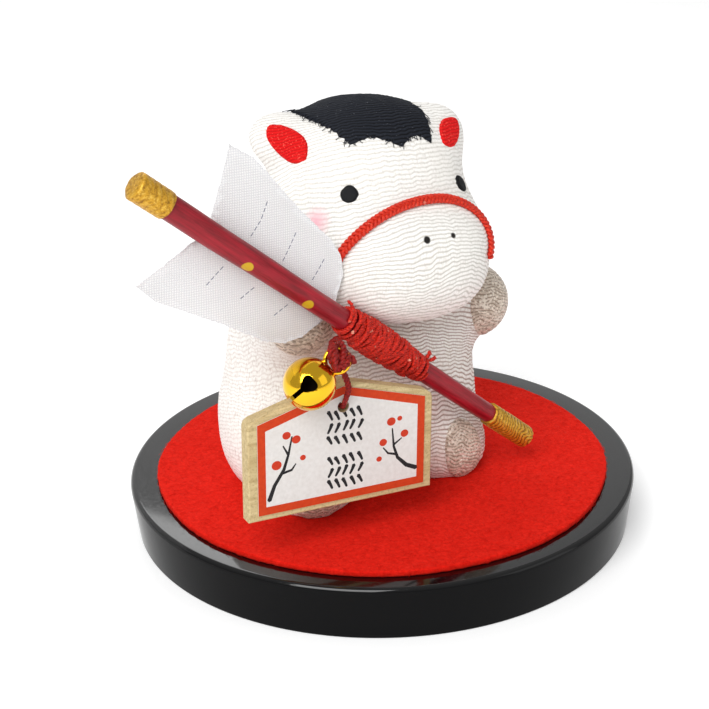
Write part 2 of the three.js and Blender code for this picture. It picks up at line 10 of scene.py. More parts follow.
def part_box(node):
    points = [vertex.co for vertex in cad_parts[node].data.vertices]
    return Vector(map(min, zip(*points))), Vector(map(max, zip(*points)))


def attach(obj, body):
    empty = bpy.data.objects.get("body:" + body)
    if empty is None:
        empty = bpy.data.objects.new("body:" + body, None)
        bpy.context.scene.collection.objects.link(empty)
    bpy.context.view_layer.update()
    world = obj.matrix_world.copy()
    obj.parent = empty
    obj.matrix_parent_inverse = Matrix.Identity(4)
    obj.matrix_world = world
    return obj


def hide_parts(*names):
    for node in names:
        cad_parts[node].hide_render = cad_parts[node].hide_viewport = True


# A seated zodiac horse of white crepe on a round lacquered stand, hugging a lucky arrow that carries
# a jingle bell and a votive plaque. Shapes are worked out in millimetres, with Z up and the horse
# facing -Y, and become metres when a mesh is made. Right and left are the horse's own.
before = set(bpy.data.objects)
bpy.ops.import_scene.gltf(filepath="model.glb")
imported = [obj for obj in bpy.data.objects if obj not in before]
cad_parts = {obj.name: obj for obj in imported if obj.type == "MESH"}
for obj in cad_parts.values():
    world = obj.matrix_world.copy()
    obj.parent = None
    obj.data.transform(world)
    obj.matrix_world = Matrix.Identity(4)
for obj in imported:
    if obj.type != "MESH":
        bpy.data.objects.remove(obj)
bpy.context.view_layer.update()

MM = 0.001

# Sizes that the pieces share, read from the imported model
stand_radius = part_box("stand")[1].y / MM
stand_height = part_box("stand")[1].z / MM
felt_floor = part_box("felt_mat")[0].z / MM
felt_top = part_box("felt_mat")[1].z / MM

# Arrow
arrow_length = 90
nock_diameter = 3.8
tip_diameter = 3.2
wrap_start = 41.4
wrap_length = 20
wrap_depth = 0.55
wrap_bulge = 0.6

# Bell, plaque and the cord between them
bell_radius = 4
bell_wall = 0.45
ring_radius = 1.8
ring_wire = 0.7
plaque_half_width = 15.9
plaque_side_height = 16.4
plaque_apex = 20.8
plaque_thickness = 2.6
plaque_hole_radius = 1
plaque_hole_height = 16.6
label_thickness = 0.15
hang_cord_diameter = 1.1


# Places and small vector helps

def unit(*way):
    """A direction of length 1."""
    return np.array(way, float) / np.linalg.norm(way)


def placing(at, *turns):
    """A place in the world: a shift in mm, then turns, each an axis and degrees."""
    place = Matrix.Translation(at)
    for axis, degrees in turns:
        place = place @ Matrix.Rotation(math.radians(degrees), 4, axis)
    return np.array(place)


def put(place, points):
    """Points of a place's own frame, as points of the frame outside it."""
    return points @ place[:3, :3].T + place[:3, 3]


figure_frame = placing((-6.2, 0, felt_top))
head_in_figure = placing((3.9, 0, 45.4), ("Z", 3.5), ("Y", 6.5))
head_frame = figure_frame @ head_in_figure
arrow_frame = placing((-50, -21.6, 72.85), ("Z", 3.6), ("Y", 39.7))
plaque_frame = placing((-21.7, -25.2, 17.4), ("Z", -2.6), ("X", -2.2), ("Y", 3))

bell_axis = unit(0.801, -0.169, 0.574)
bell_face = unit(-0.446, -0.808, 0.384)
bell_side = unit(*np.cross(-bell_face, bell_axis))
bell_frame = np.eye(4)
bell_frame[:3, :3] = np.column_stack([bell_side, np.cross(bell_axis, bell_side), bell_axis])
bell_frame[:3, 3] = (-27.6, -27, 40.2)

head_upright = head_frame[:3, :3].T @ np.array([0, 0, 1.0])


# Materials

def linear(code):
    """An sRGB hex colour as the linear one that shaders take."""
    shares = [int(code[i:i + 2], 16) / 255 for i in (0, 2, 4)]
    return [s / 12.92 if s <= 0.04045 else ((s + 0.055) / 1.055) ** 2.4 for s in shares] + [1.0]


def add(tree, kind, inputs=(), **settings):
    """A node with its settings, and its inputs given as values or as sockets to link."""
    node = tree.nodes.new(kind)
    for name, value in settings.items():
        setattr(node, name, value)
    for key, value in dict(inputs).items():
        if isinstance(value, bpy.types.NodeSocket):
            tree.links.new(value, node.inputs[key])
        else:
            node.inputs[key].default_value = value
    return node


def repeats(length):
    """The scale of a texture whose pattern is about this many mm long."""
    return 1 / (length * MM)


class Finish:
    """A material in the making, with its shader, the object's coordinates in metres and its colour
    so far. Its textures run from 0 to 1, and their lengths are in mm."""

    def __init__(self, name, values):
        self.material = bpy.data.materials.new(name)
        self.material.use_nodes = True
        self.tree = self.material.node_tree
        self.shader = self.tree.nodes["Principled BSDF"]
        for socket, value in values.items():
            self.shader.inputs[socket].default_value = value
        self.coords = self.node("ShaderNodeTexCoord").outputs["Object"]
        self.colour = None

    def node(self, kind, inputs=(), **settings):
        return add(self.tree, kind, inputs, **settings)

    def maths(self, operation, first, second=0.0):
        node = self.node("ShaderNodeMath", {0: first, 1: second}, operation=operation)
        return node.outputs["Value"]

    def spread(self, value, low, high, start=0.0, end=1.0):
        """A value stretched from its range low to high over start to end, and held at the ends."""
        inputs = {"Value": value, "From Min": low, "From Max": high, "To Min": start, "To Max": end}
        return self.node("ShaderNodeMapRange", inputs).outputs["Result"]

    def laid(self, turn=(0, 0, 0), stretch=(1, 1, 1)):
        """Coordinates for a pattern that is turned and stretched with its piece."""
        return self.node("ShaderNodeMapping", {
            "Vector": self.coords, "Rotation": turn, "Scale": stretch,
        }, vector_type="TEXTURE").outputs["Vector"]

    def noise(self, length, detail, roughness=0.5, distortion=0.0, coords=None):
        """Clouds, grain or threads: noise that is mostly near its middle."""
        return self.node("ShaderNodeTexNoise", {
            "Vector": self.coords if coords is None else coords, "Scale": repeats(length),
            "Detail": detail, "Roughness": roughness, "Distortion": distortion,
        }).outputs["Fac"]

    def cells(self, length):
        """A lot for each cell, all over it, and how far a point is from the middle of its cell."""
        cells = self.node("ShaderNodeTexVoronoi", {"Vector": self.coords, "Scale": repeats(length)})
        lot = self.node("ShaderNodeSeparateColor", {"Color": cells.outputs["Color"]})
        return lot.outputs["Red"], cells.outputs["Distance"]

    def valley_shade(self):
        """The share of painted shade between crepe ribs: 0 on a crest and up to 1 deep between two
        ribs, less where the slack attribute is less."""
        count, slack = [
            self.node("ShaderNodeAttribute", attribute_name=name).outputs["Fac"]
            for name in ("rib", "slack")
        ]
        crest = self.maths("ABSOLUTE", self.maths("SINE", self.maths("MULTIPLY", count, math.pi)))
        return self.maths("MULTIPLY", self.spread(crest, 0.85, 0.05), slack)

    def paint(self, share, tint, ground=None):
        """Lays a tint over a ground, or else over the colour so far, by a share."""
        below = linear(ground) if ground else self.colour
        mixed = self.node("ShaderNodeMix", {0: share, 6: below, 7: linear(tint)}, data_type="RGBA")
        self.colour = mixed.outputs[2]

    def dab(self, tint, centre, radius, blur):
        """Paints all inside a ball, with an edge blurred over some mm."""
        centre = [c * MM for c in centre]
        gap = self.node("ShaderNodeVectorMath", {0: self.coords, 1: centre}, operation="DISTANCE")
        ends = [(radius + side * blur / 2) * MM for side in (1, -1)]
        self.paint(self.spread(gap.outputs["Value"], *ends), tint)

    def drive(self, socket, value):
        self.tree.links.new(value, self.shader.inputs[socket])

    def done(self, height=None, depth=0.0):
        """The material, its surface raised by a height of 0 to 1 that stands for a depth in mm."""
        if self.colour:
            self.drive("Base Color", self.colour)
        if height:
            bump = self.node("ShaderNodeBump", {"Height": height, "Distance": depth * MM, "Strength": 1})
            self.drive("Normal", bump.outputs["Normal"])
        return self.material


def white_crepe(name, valley_shade, marks=()):
    """Rayon crepe: matt white cloth with a painted shade of warm grey between its ribs, and fine
    thread ticks painted in the same shade. Marks painted on it are a colour, a place, a radius and a blur."""
    cloth = Finish(name, {
        "Roughness": 0.8, "Specular IOR Level": 0.25, "Sheen Weight": 0.1, "Sheen Roughness": 0.5,
    })
    threads = cloth.noise(0.3, 2, 0.6, coords=cloth.laid(stretch=(1, 1, 1 / 0.35)))
    # Painted shade: a warm grey laid in the valleys between the ribs.
    cloth.paint(cloth.valley_shade(), valley_shade, ground="fbf9f5")
    cloth.paint(cloth.spread(cloth.noise(9, 2), 0.45, 0.75, 0, 0.25), "efe9df")
    # Painted shade: fine thread ticks in the same warm grey.
    cloth.paint(cloth.spread(threads, 0.48, 0.7, 0, 0.4), valley_shade)
    for mark in marks:
        cloth.dab(*mark)
    return cloth.done(threads, 0.1)


def tinted_crepe(name, crest, valley_shade, speck, specks):
    """Dyed crepe: the same cloth in one deep colour, with painted shade of a darker tone between its
    ribs, and a few pale specks that stand for pale fibres and also for painted glints on them.
    """
    cloth = Finish(name, {"Roughness": 0.8, "Specular IOR Level": 0.15})
    threads = cloth.noise(0.25, 2, 0.6)
    # Painted shade: the darker tone between the ribs.
    cloth.paint(cloth.valley_shade(), valley_shade, ground=crest)
    # Pale specks: loose pale fibres, and painted glints.
    cloth.paint(cloth.spread(threads, specks, specks + 0.06), speck)
    return cloth.done(threads, 0.06)


def lame_crepe():
    """Lame crepe: taupe cloth with metal threads, so single pale threads glint in a dull ground,
    with painted shade of darker brown between its ribs.
    """
    cloth = Finish("lame crepe", {"Roughness": 0.55, "Sheen Weight": 0.2, "Specular IOR Level": 0.4})
    lot, gap = cloth.cells(0.34)
    # Painted shade: darker brown between the ribs.
    cloth.paint(cloth.valley_shade(), "86735f", ground="d2c1b0")
    cloth.paint(cloth.spread(lot, 0, 0.4, 0.5, 0), "8a7868")
    cloth.paint(cloth.spread(lot, 0.6, 0.85), "eadfd2")
    cloth.drive("Metallic", cloth.spread(lot, 0.7, 0.9, 0, 0.6))
    return cloth.done(gap, 0.08)


def gold_crepe():
    """Gold lame crepe: yellow metallic cloth, crinkled, with painted brown shade between its creases,
    bright threads painted as highlights, and darker threads as a brown mottle.
    """
    cloth = Finish("gold lame crepe", {"Roughness": 0.42, "Metallic": 0.55, "Specular IOR Level": 0.5})
    threads = cloth.noise(0.45, 3, 0.75)
    # Painted shade: brown between the creases.
    cloth.paint(cloth.valley_shade(), "80520f", ground="cf9a26")
    # Painted highlights: bright threads.
    cloth.paint(cloth.spread(threads, 0.5, 0.66, 0, 0.7), "f0c85a")
    cloth.paint(cloth.spread(threads, 0.44, 0.32, 0, 0.7), "6e4410")
    return cloth.done(threads, 0.12)


def red_felt():
    """Wool felt: pressed fibres, matt, with clouds of lighter and darker red and a soft nap."""
    felt = Finish("red wool felt", {
        "Roughness": 0.95, "Specular IOR Level": 0.08, "Sheen Weight": 0.12, "Sheen Roughness": 0.6,
        "Sheen Tint": linear("ff6a50"),
    })
    fibres = felt.noise(0.7, 5, 0.75, distortion=0.6)
    felt.paint(felt.spread(fibres, 0.35, 0.68), "f4261a", ground="d01206")
    felt.paint(felt.spread(felt.noise(6, 3), 0.4, 0.7, 0, 0.3), "dc160c")
    return felt.done(fibres, 0.25)


def black_lacquer():
    """Black lacquer: deep black under a clear gloss with hardly any waviness. Its side has a lower
    specular level than its top, so it mirrors less and looks darker: painted shade on the side."""
    lacquer = Finish("black lacquer", {"Base Color": linear("060607")})
    facing = lacquer.node("ShaderNodeNewGeometry").outputs["Normal"]
    upward = lacquer.node("ShaderNodeSeparateXYZ", {"Vector": facing}).outputs["Z"]
    # Painted shade: the specular level falls from the top to the side, so the side looks darker.
    lacquer.drive("Specular IOR Level", lacquer.spread(upward, 0.2, 0.95, 0.1, 0.6))
    lacquer.drive("Roughness", lacquer.spread(lacquer.noise(0.5, 3), 0.5, 0.8, 0.07, 0.2))
    return lacquer.done(lacquer.noise(14, 1), 0.04)


def eye_plastic():
    """Black plastic, moulded matt: a flat disc with a few paler scuffs and only a dull shine."""
    plastic = Finish("black plastic", {"Specular IOR Level": 0.2})
    scuffs = plastic.noise(0.5, 3)
    plastic.drive("Roughness", plastic.spread(scuffs, 0.4, 0.7, 0.55, 0.75))
    plastic.paint(plastic.spread(scuffs, 0.4, 0.75), "17181c", ground="060709")
    return plastic.done(scuffs, 0.05)


def red_cord(name, flecks, dark, bright):
    """Rayon cord: silky red strands, streaked by noise from a darker red, which stands for painted
    shade between them, to a brighter red, which stands for painted highlights, with flecks of metal thread.
    """
    cord = Finish(name, {
        "Roughness": 0.5, "Specular IOR Level": 0.3, "Sheen Weight": 0.06, "Sheen Tint": linear("ff7058"),
    })
    fibres = cord.noise(0.35, 3, 0.7)
    lot, _ = cord.cells(0.45)
    # Painted shade and highlights: noise streaks between the dark and the bright red.
    cord.paint(cord.spread(fibres, 0.35, 0.65), bright, ground=dark)
    cord.paint(cord.spread(lot, flecks, flecks + 0.02, 0, 0.8), "f0b49a")
    return cord.done(fibres, 0.08)


def red_wood(dabs):
    """Stained and varnished softwood: dark red with long pale streaks, and dabs of paint."""
    wood = Finish("red stained wood", {
        "Specular IOR Level": 0.3, "Coat Weight": 0.04, "Coat Roughness": 0.25,
    })
    grain = wood.noise(0.5, 4, 0.65, coords=wood.laid(Matrix(arrow_frame).to_euler(), (14, 1, 1)))
    wood.paint(wood.spread(grain, 0.32, 0.7), "ac1a2b", ground="730814")
    wood.paint(wood.spread(wood.noise(6, 2), 0.5, 0.75, 0, 0.4), "55080f")
    for dab in dabs:
        wood.dab(*dab)
    wood.drive("Roughness", wood.spread(grain, 0.3, 0.7, 0.3, 0.5))
    return wood.done(grain, 0.05)


def gold_plate():
    """Gold-plated brass: a bright yellow mirror with very faint waves from pressing."""
    gold = Finish("gold plated brass", {"Base Color": linear("f7c22f"), "Metallic": 1})
    gold.drive("Roughness", gold.spread(gold.noise(0.3, 4), 0.4, 0.8, 0.08, 0.24))
    return gold.done(gold.noise(2.5, 1), 0.02)


def shaded_bell_inside():
    """The bell's inside: dull dark brown brass that gives little light back, as painted shade in the
    hollow.
    """
    brass = Finish("shaded bell inside", {"Metallic": 0.4, "Roughness": 0.7})
    # Painted shade: dark browns, clouded by noise, over the bell's inside.
    brass.paint(brass.noise(1, 3), "3a280e", ground="1c1206")
    return brass.done()


def vane_cloth(name, thread, gap):
    """Plain-woven polyester, stiffened: thin, near white, with its weave just to be seen. The weave
    is drawn as coarse as it shows, which is about twice the real one."""
    weave_length = 0.38
    bias = -38
    cloth = Finish(name, {"Roughness": 0.7, "Specular IOR Level": 0.3, "Sheen Weight": 0.1})
    turn = Matrix(arrow_frame).to_euler()
    turn.rotate_axis("Y", math.radians(bias))
    coords = cloth.laid(turn)
    rows = [
        cloth.node("ShaderNodeTexWave", {
            "Vector": coords, "Scale": repeats(weave_length) * math.pi / 10, "Distortion": 0.6,
            "Detail": 1, "Detail Scale": 2,
        }, wave_type="BANDS", bands_direction=way, wave_profile="SIN").outputs["Fac"]
        for way in ("X", "Z")
    ]
    weave = cloth.maths("MULTIPLY", *rows)
    cloth.paint(cloth.spread(weave, 0, 0.45), thread, ground=gap)
    cloth.paint(cloth.spread(cloth.noise(7, 2), 0.45, 0.7, 0, 0.3), gap)
    return cloth.done(weave, 0.05)


def pale_board():
    """Bare softwood board, planed: pale tan with fine straight grain and a few darker lines."""
    board = Finish("bare softwood", {"Roughness": 0.72, "Specular IOR Level": 0.3})
    coords = board.laid(Matrix(plaque_frame).to_euler(), (22, 1, 1))
    grain = board.noise(0.55, 4, 0.65, coords=coords)
    board.paint(board.spread(grain, 0.3, 0.7), "d6c294", ground="b29a6c")
    board.paint(board.spread(board.noise(2.4, 1, coords=coords), 0.52, 0.62, 0, 0.3), "ab9060")
    board.paint(board.spread(board.noise(0.35, 2), 0.52, 0.68, 0, 0.5), "8f7c52")
    return board.done(grain, 0.06)


def printed_paper(name, ground, shade):
    """Coated paper with flat printed colours: smooth, a little satin, with a faint mottle."""
    paper = Finish(name, {"Roughness": 0.6, "Specular IOR Level": 0.2})
    mottle = paper.noise(0.6, 3)
    paper.paint(paper.spread(mottle, 0.3, 0.75), shade, ground=ground)
    return paper.done(mottle, 0.01)


# Meshes

def make(name, points, faces, materials, kinds=None):
    """A smooth-shaded object at the origin, from points in mm. Kinds gives each face's material."""
    mesh = bpy.data.meshes.new(name)
    mesh.from_pydata((np.asarray(points) * MM).tolist(), [], faces)
    mesh.shade_smooth()
    for material in materials:
        mesh.materials.append(material)
    if kinds is not None:
        mesh.polygons.foreach_set("material_index", kinds)
    mesh.update()
    thing = bpy.data.objects.new(name, mesh)
    bpy.context.scene.collection.objects.link(thing)
    return thing


def settle(thing):
    """Turns an object's modifiers into a plain mesh."""
    depsgraph = bpy.context.evaluated_depsgraph_get()
    mesh = bpy.data.meshes.new_from_object(thing.evaluated_get(depsgraph))
    thing.modifiers.clear()
    thing.data = mesh


def grow(thing, tree, inputs):
    """Runs a nodes tree on an object and keeps the result as a plain mesh."""
    modifier = thing.modifiers.new("grown", "NODES")
    modifier.node_group = tree
    for item in tree.interface.items_tree:
        if item.in_out == "INPUT" and item.name in inputs:
            modifier[item.identifier] = inputs[item.name]
    settle(thing)


def join(thing, other):
    """Adds another object's mesh to one's own and removes that object."""
    both = bmesh.new()
    both.from_mesh(thing.data)
    both.from_mesh(other.data)
    both.to_mesh(thing.data)
    both.free()
    bpy.data.objects.remove(other)


def hand_in(thing, slot, *nodes):
    """Puts a finished piece under the root body and hides the CAD nodes that it stands for. Its
    finish, the slot, is not used.
    """
    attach(thing, "root")
    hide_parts(*nodes)


def round_faces(rows, columns, first=0):
    """Quads between rows of points that run round a closed turn."""
    below = first + np.arange(rows - 1)[:, None] * columns
    here = np.arange(columns)[None, :]
    there = (here + 1) % columns
    return np.stack([
        below + here, below + there, below + columns + there, below + columns + here,
    ], -1).reshape(-1, 4).tolist()


def capped_faces(rows, columns):
    """Faces between rows of points that run round, closed by two more points, at the first and the
    last row."""
    faces = round_faces(rows, columns)
    count = rows * columns
    last = count - columns
    for column in range(columns):
        beside = (column + 1) % columns
        faces.append([count, beside, column])
        faces.append([count + 1, last + column, last + beside])
    return faces


def turn_round(profile, segments, waver=None):
    """A turned shape about Z from [radius, z] corners that start and end on the axis. Waver shifts
    each radius by a function of the turn and z."""
    turns = np.arange(segments) * 2 * math.pi / segments
    rings = profile[1:-1]
    points = []
    for radius, z in rings:
        shift = waver(turns, z) if waver else 0
        points.append(np.column_stack([
            (radius + shift) * np.cos(turns), (radius + shift) * np.sin(turns), np.full(segments, z),
        ]))
    points = np.vstack(points + [[[0, 0, profile[0][1]], [0, 0, profile[-1][1]]]])
    return points, capped_faces(len(rings), segments)


def ripple(points, ways, length, seed, waves=10):
    """Smooth wavering of about -1 to 1. It changes over length mm along any mix of the ways."""
    rng = np.random.default_rng(seed)
    total = np.zeros(len(points))
    for _ in range(waves):
        mix = rng.normal(size=len(ways))
        way = (mix / np.linalg.norm(mix)) @ np.asarray(ways)
        size = 2 * math.pi / (length * rng.uniform(0.75, 1.4))
        total += np.sin(points @ way * size + rng.uniform(0, 2 * math.pi))
    return total / math.sqrt(2 * waves)


def crepe_rise(points, rise, pitch, zigzag, seed, centre=None):
    """Crepe ribs: a height that is 1 on a crest and 0 in a valley, and a running count of ribs. They
    climb along rise, pitch mm apart, and waver by zigzag mm, as crepe's twisted threads make them.
    Round a centre they keep their pitch right up to the pole."""
    rise = unit(*rise)
    side = unit(*np.cross(rise, (0, -1, 0.2)))
    front = np.cross(side, rise)
    level = points @ rise
    if centre is not None:
        offset = points - centre
        far = np.linalg.norm(offset, axis=1)
        level = far * np.arcsin(np.clip(offset @ rise / far, -1, 1))
    level = level + zigzag * ripple(points, [side, front, 0.3 * rise], 1.9, seed)
    level = level + 0.9 * ripple(points, [side, front, rise], 14, seed + 1)
    crest = np.abs(np.sin(math.pi * level / pitch)) ** 0.6
    return crest * (0.82 + 0.18 * ripple(points, [side, front, rise], 1.4, seed + 2)), level / pitch


def raise_ribs(thing, height, count, depth, slack=1.0, rise=None):
    """Lifts a mesh along its normals by a height of 0 to 1, less where slack is less, and keeps both
    each point's count of ribs and its slack. Where the mesh lies level across rise, the ribs would
    spread wide, so they fade."""
    mesh = thing.data
    places = np.empty(len(mesh.vertices) * 3)
    normals = np.empty(len(mesh.vertices) * 3)
    mesh.vertices.foreach_get("co", places)
    mesh.vertices.foreach_get("normal", normals)
    slack = np.broadcast_to(slack, len(mesh.vertices)).astype(np.float32)
    if rise is not None:
        level = np.abs(normals.reshape(-1, 3) @ unit(*rise))
        slack = (slack * np.clip(2.2 * (1 - level) + 0.15, 0, 1)).astype(np.float32)
    lift = np.repeat(height * slack * depth * MM, 3)
    mesh.vertices.foreach_set("co", places + normals * lift)
    mesh.attributes.new("rib", "FLOAT", "POINT").data.foreach_set("value", count.astype(np.float32))
    mesh.attributes.new("slack", "FLOAT", "POINT").data.foreach_set("value", slack)
    mesh.update()


def ribbed_cloth(name, points, faces, crepe, ribs, depth):
    """A thin cloth of crepe, with ribs on its outer side only, whose points come first, and none
    where it meets the felt. The ribs are what crepe_rise takes."""
    cloth = make(name, points, faces, [crepe])
    height, count = crepe_rise(points, *ribs)
    height[len(points) // 2:] = 0
    height *= np.clip(points[:, 2] - felt_top - 0.3, 0, 1)
    raise_ribs(cloth, height, count, depth)
    return cloth


# Forms of the horse, as functions of points: negative inside, positive outside, about the distance

def ball(centre, radii, squareness=2.0):
    """A ball or rounded block. A higher squareness makes it boxier."""
    def form(points):
        offset = points - np.array(centre, float)
        shares = np.abs(offset / np.array(radii, float)) ** squareness
        gauge = np.maximum(shares.sum(-1) ** (1 / squareness), 1e-9)
        return np.linalg.norm(offset, axis=-1) * (1 - 1 / gauge)
    return form


def limb(start, end, start_radius, end_radius):
    """A limb with round ends of two radii."""
    along = np.array(end, float) - np.array(start, float)

    def form(points):
        offset = points - np.array(start, float)
        share = np.clip(offset @ along / (along @ along), 0, 1)
        gap = np.linalg.norm(offset - share[:, None] * along, axis=-1)
        return gap - (start_radius + (end_radius - start_radius) * share)
    return form


def melt(width, *forms):
    """Several forms melted together over a width."""
    def form(points):
        value = forms[0](points)
        for other in forms[1:]:
            beside = other(points)
            overlap = np.maximum(width - np.abs(value - beside), 0) / width
            value = np.minimum(value, beside) - overlap ** 2 * width / 4
        return value
    return form


hand_right = (-14.2, -10.5, 33.5)
hand_left = (22.8, -4, 27)
foot_right = (-13.2, -9.5, 4)
foot_left = (13.2, -9.5, 4)
body_centre = (0, 0, 17)
head_centre = (0, -1, 0)
head_middle = put(head_frame, np.array(head_centre))
head_rise = unit(0.02, 0.42, 0.91)

body_form = melt(
    5,
    ball((0, 0.4, 11), (23.5, 14.5, 18.5), 2.4),
    limb((-12, 1, 26), hand_right, 9, 5.2),
    limb((12, 1, 24), hand_left, 9, 6),
    limb((-10, -2, 7), foot_right, 8, 7.3),
    limb((10, -2, 7), foot_left, 8, 7.3),
)

head_form = melt(
    6,
    ball((0, 0.5, 2.4), (16, 14.5, 16.4), 2.4),
    ball((0, -5.4, -4.8), (17, 16.7, 11.3), 2.5),
    ball((-15.8, 3.8, 12.4), (4.2, 4, 3.6)),
    ball((11.6, -2.9, 13.8), (3.5, 3.4, 3.5)),
)
head_forms = (head_frame, head_form, head_centre)


def head_from_figure(points):
    """The head's form, for points of the figure's frame."""
    turn = head_in_figure[:3, :3]
    return head_form((points - head_in_figure[:3, 3]) @ turn)


def reach(form, centres, ways, offset=0.0):
    """How far the outermost skin of a form lies from each centre, along each way."""
    start = 44.0
    step = 1.0
    halvings = 12
    centres = np.broadcast_to(np.asarray(centres, float), ways.shape)
    offset = np.broadcast_to(offset, len(ways))
    outside = np.full(len(ways), start)
    searching = np.arange(len(ways))
    while len(searching):
        trial = outside[searching] - step
        value = form(centres[searching] + ways[searching] * trial[:, None])
        searching = searching[(value > offset[searching]) & (trial > step)]
        outside[searching] -= step
    inside = outside - step
    for _ in range(halvings):
        middle = (inside + outside) / 2
        free = form(centres + ways * middle[:, None]) > offset
        outside = np.where(free, middle, outside)
        inside = np.where(free, inside, middle)
    return inside


def room(centre, ways):
    """How far one may go from a centre in the figure's frame before the head or the felt."""
    clearance = 0.1
    far = 60.0
    steps = 50
    pace = 0.6
    distance = np.zeros(len(ways))
    rising = np.flatnonzero(ways[:, 2] > -0.3)
    for _ in range(steps):
        value = head_from_figure(np.array(centre) + ways[rising] * distance[rising, None]) - clearance
        distance[rising] += pace * value
        rising = rising[(value > 0.02) & (distance[rising] < far)]
    distance[distance == 0] = far
    falling = ways[:, 2] < 0
    floor = np.full(len(ways), far)
    floor[falling] = (0.05 - centre[2]) / ways[falling, 2]
    return np.minimum(distance, floor)


def ways_round(pole, rows, columns):
    """Directions on rows round a pole, from its far end up, with a point at each end, and the
    faces between them."""
    pole = unit(*pole)
    side = unit(*np.cross((0, 1, 0), pole))
    back = np.cross(pole, side)
    rise = (-math.pi / 2 + math.pi * np.arange(1, rows) / rows)[:, None]
    turn = (2 * math.pi * np.arange(columns) / columns)[None, :]
    flat = np.cos(turn)[..., None] * side + np.sin(turn)[..., None] * back
    ways = np.cos(rise)[..., None] * flat + np.sin(rise)[..., None] * pole
    ways = np.vstack([ways.reshape(-1, 3), -pole, pole])
    return ways, capped_faces(rows - 1, columns)


def along_edges(corners, step):
    """A closed border with extra points along its edges, step mm apart."""
    corners = np.array(corners, float)
    points = []
    for here, there in zip(corners, np.roll(corners, -1, axis=0)):
        count = max(1, round(np.linalg.norm(there - here) / step))
        points.extend(here + (there - here) * k / count for k in range(count))
    return np.array(points)


def oval(half_length, half_width, tilt=0.0, count=60, point=1.0):
    """An oval border, tilted by degrees. A point above 1 draws its two ends out into points."""
    turns = np.arange(count) * 2 * math.pi / count
    across = np.sign(np.sin(turns)) * np.abs(np.sin(turns)) ** point
    flat = np.column_stack([half_length * np.cos(turns), half_width * across])
    angle = math.radians(tilt)
    return flat @ np.array([[math.cos(angle), math.sin(angle)], [-math.sin(angle), math.cos(angle)]])


def ways_to(form, centre, aim, upwards, flat):
    """Ways from a centre to points [u, v] that lie on a form, u mm right of an aim and v up."""
    middle = unit(*aim)
    right = unit(*np.cross(upwards, middle))
    up = np.cross(middle, right)
    depth = reach(form, centre, middle[None, :])[0]
    spans = np.maximum(np.linalg.norm(flat, axis=1, keepdims=True), 1e-9)
    aside = flat[:, :1] / spans * right + flat[:, 1:] / spans * up
    return np.cos(spans / depth) * middle + np.sin(spans / depth) * aside


def patch(place, form, centre, aim, upwards, border, thickness, hem, rings, limit=None):
    """Cloth laid on a form of a placed frame, inside a border of [u, v] points in mm round an aim.
    It stays level and turns down at its hem, which is a share of the way to its border. Returns its
    points in the world, with the outer side's first, and its faces."""
    shares = np.arange(1, rings + 1) / rings
    flat = np.vstack([[[0, 0]], (shares[:, None, None] * border[None]).reshape(-1, 2)])
    ways = ways_to(form, centre, aim, upwards, flat)
    outer_share = np.concatenate([[0], np.repeat(shares, len(border))])
    heights = thickness * (0.85 * np.clip((1 - outer_share) / hem, 0, 1) ** 0.5 + 0.15)
    thinnest = 0.1
    far = limit(centre, ways) if limit else math.inf
    layers = [
        np.minimum(reach(form, centre, ways, heights), far),
        np.minimum(reach(form, centre, ways), far - thinnest),
    ]
    points = put(place, np.vstack([np.array(centre) + ways * layer[:, None] for layer in layers]))
    count = len(ways)
    spokes = len(border)
    faces = [face[::-1] for face in round_faces(rings, spokes, 1)]
    faces += [[0, 1 + k, 1 + (k + 1) % spokes] for k in range(spokes)]
    faces += [[count + corner for corner in reversed(face)] for face in list(faces)]
    rim = count - spokes
    for k in range(spokes):
        beside = (k + 1) % spokes
        faces.append([rim + k, rim + count + k, rim + count + beside, rim + beside])
    return points, faces


# Horse

def make_body(crepe):
    """The body with its arms and legs, in crepe whose ribs run nearly level round it."""
    rows = 330
    columns = 296
    rib_pitch = 0.66
    rib_depth = 0.3
    ways, faces = ways_round((0.04, 0.1, 1), rows, columns)
    distance = np.minimum(reach(body_form, body_centre, ways), room(body_centre, ways))
    points = put(figure_frame, np.array(body_centre) + ways * distance[:, None])
    body = make("crepe_body", points, faces, [crepe])
    rib_rise = (0.2, 0.25, 0.9)
    height, count = crepe_rise(points, rib_rise, rib_pitch, 0.3, 11)
    fade = np.clip((points[:, 2] - felt_top - 0.4) / 1.5, 0, 1)
    # Painted light: the ribs and their painted shade fade towards the horse's right side, where the light
    # falls, so that side looks lighter.
    lit_side = np.clip((6 - points @ unit(0.87, -0.5, 0)) / 22, 0, 1)
    raise_ribs(body, height * fade, count, rib_depth, 1 - 0.7 * lit_side, rib_rise)
    hand_in(body, "crepe", "body")


def make_head(crepe):
    """The head with muzzle and ears. Its ribs climb towards the nose and are deepest there."""
    rows = 325
    columns = 300
    rib_pitch = 0.74
    ways, faces = ways_round(head_frame[:3, :3].T @ head_rise, rows, columns)
    places = np.array(head_centre) + ways * reach(head_form, head_centre, ways)[:, None]
    points = put(head_frame, places)
    head = make("crepe_head", points, faces, [crepe])
    muzzle = np.clip((6 - places[:, 2]) / 9, 0, 1) * np.clip((2 - places[:, 1]) / 12, 0, 1)
    height, count = crepe_rise(points, head_rise, rib_pitch, 0.17, 23, head_middle)
    # Slack is higher towards the lower muzzle, so the ribs there are deeper and their painted shade darker.
    raise_ribs(head, height, count, 0.22, 0.62 + 0.25 * muzzle)
    hand_in(head, "crepe", "head")


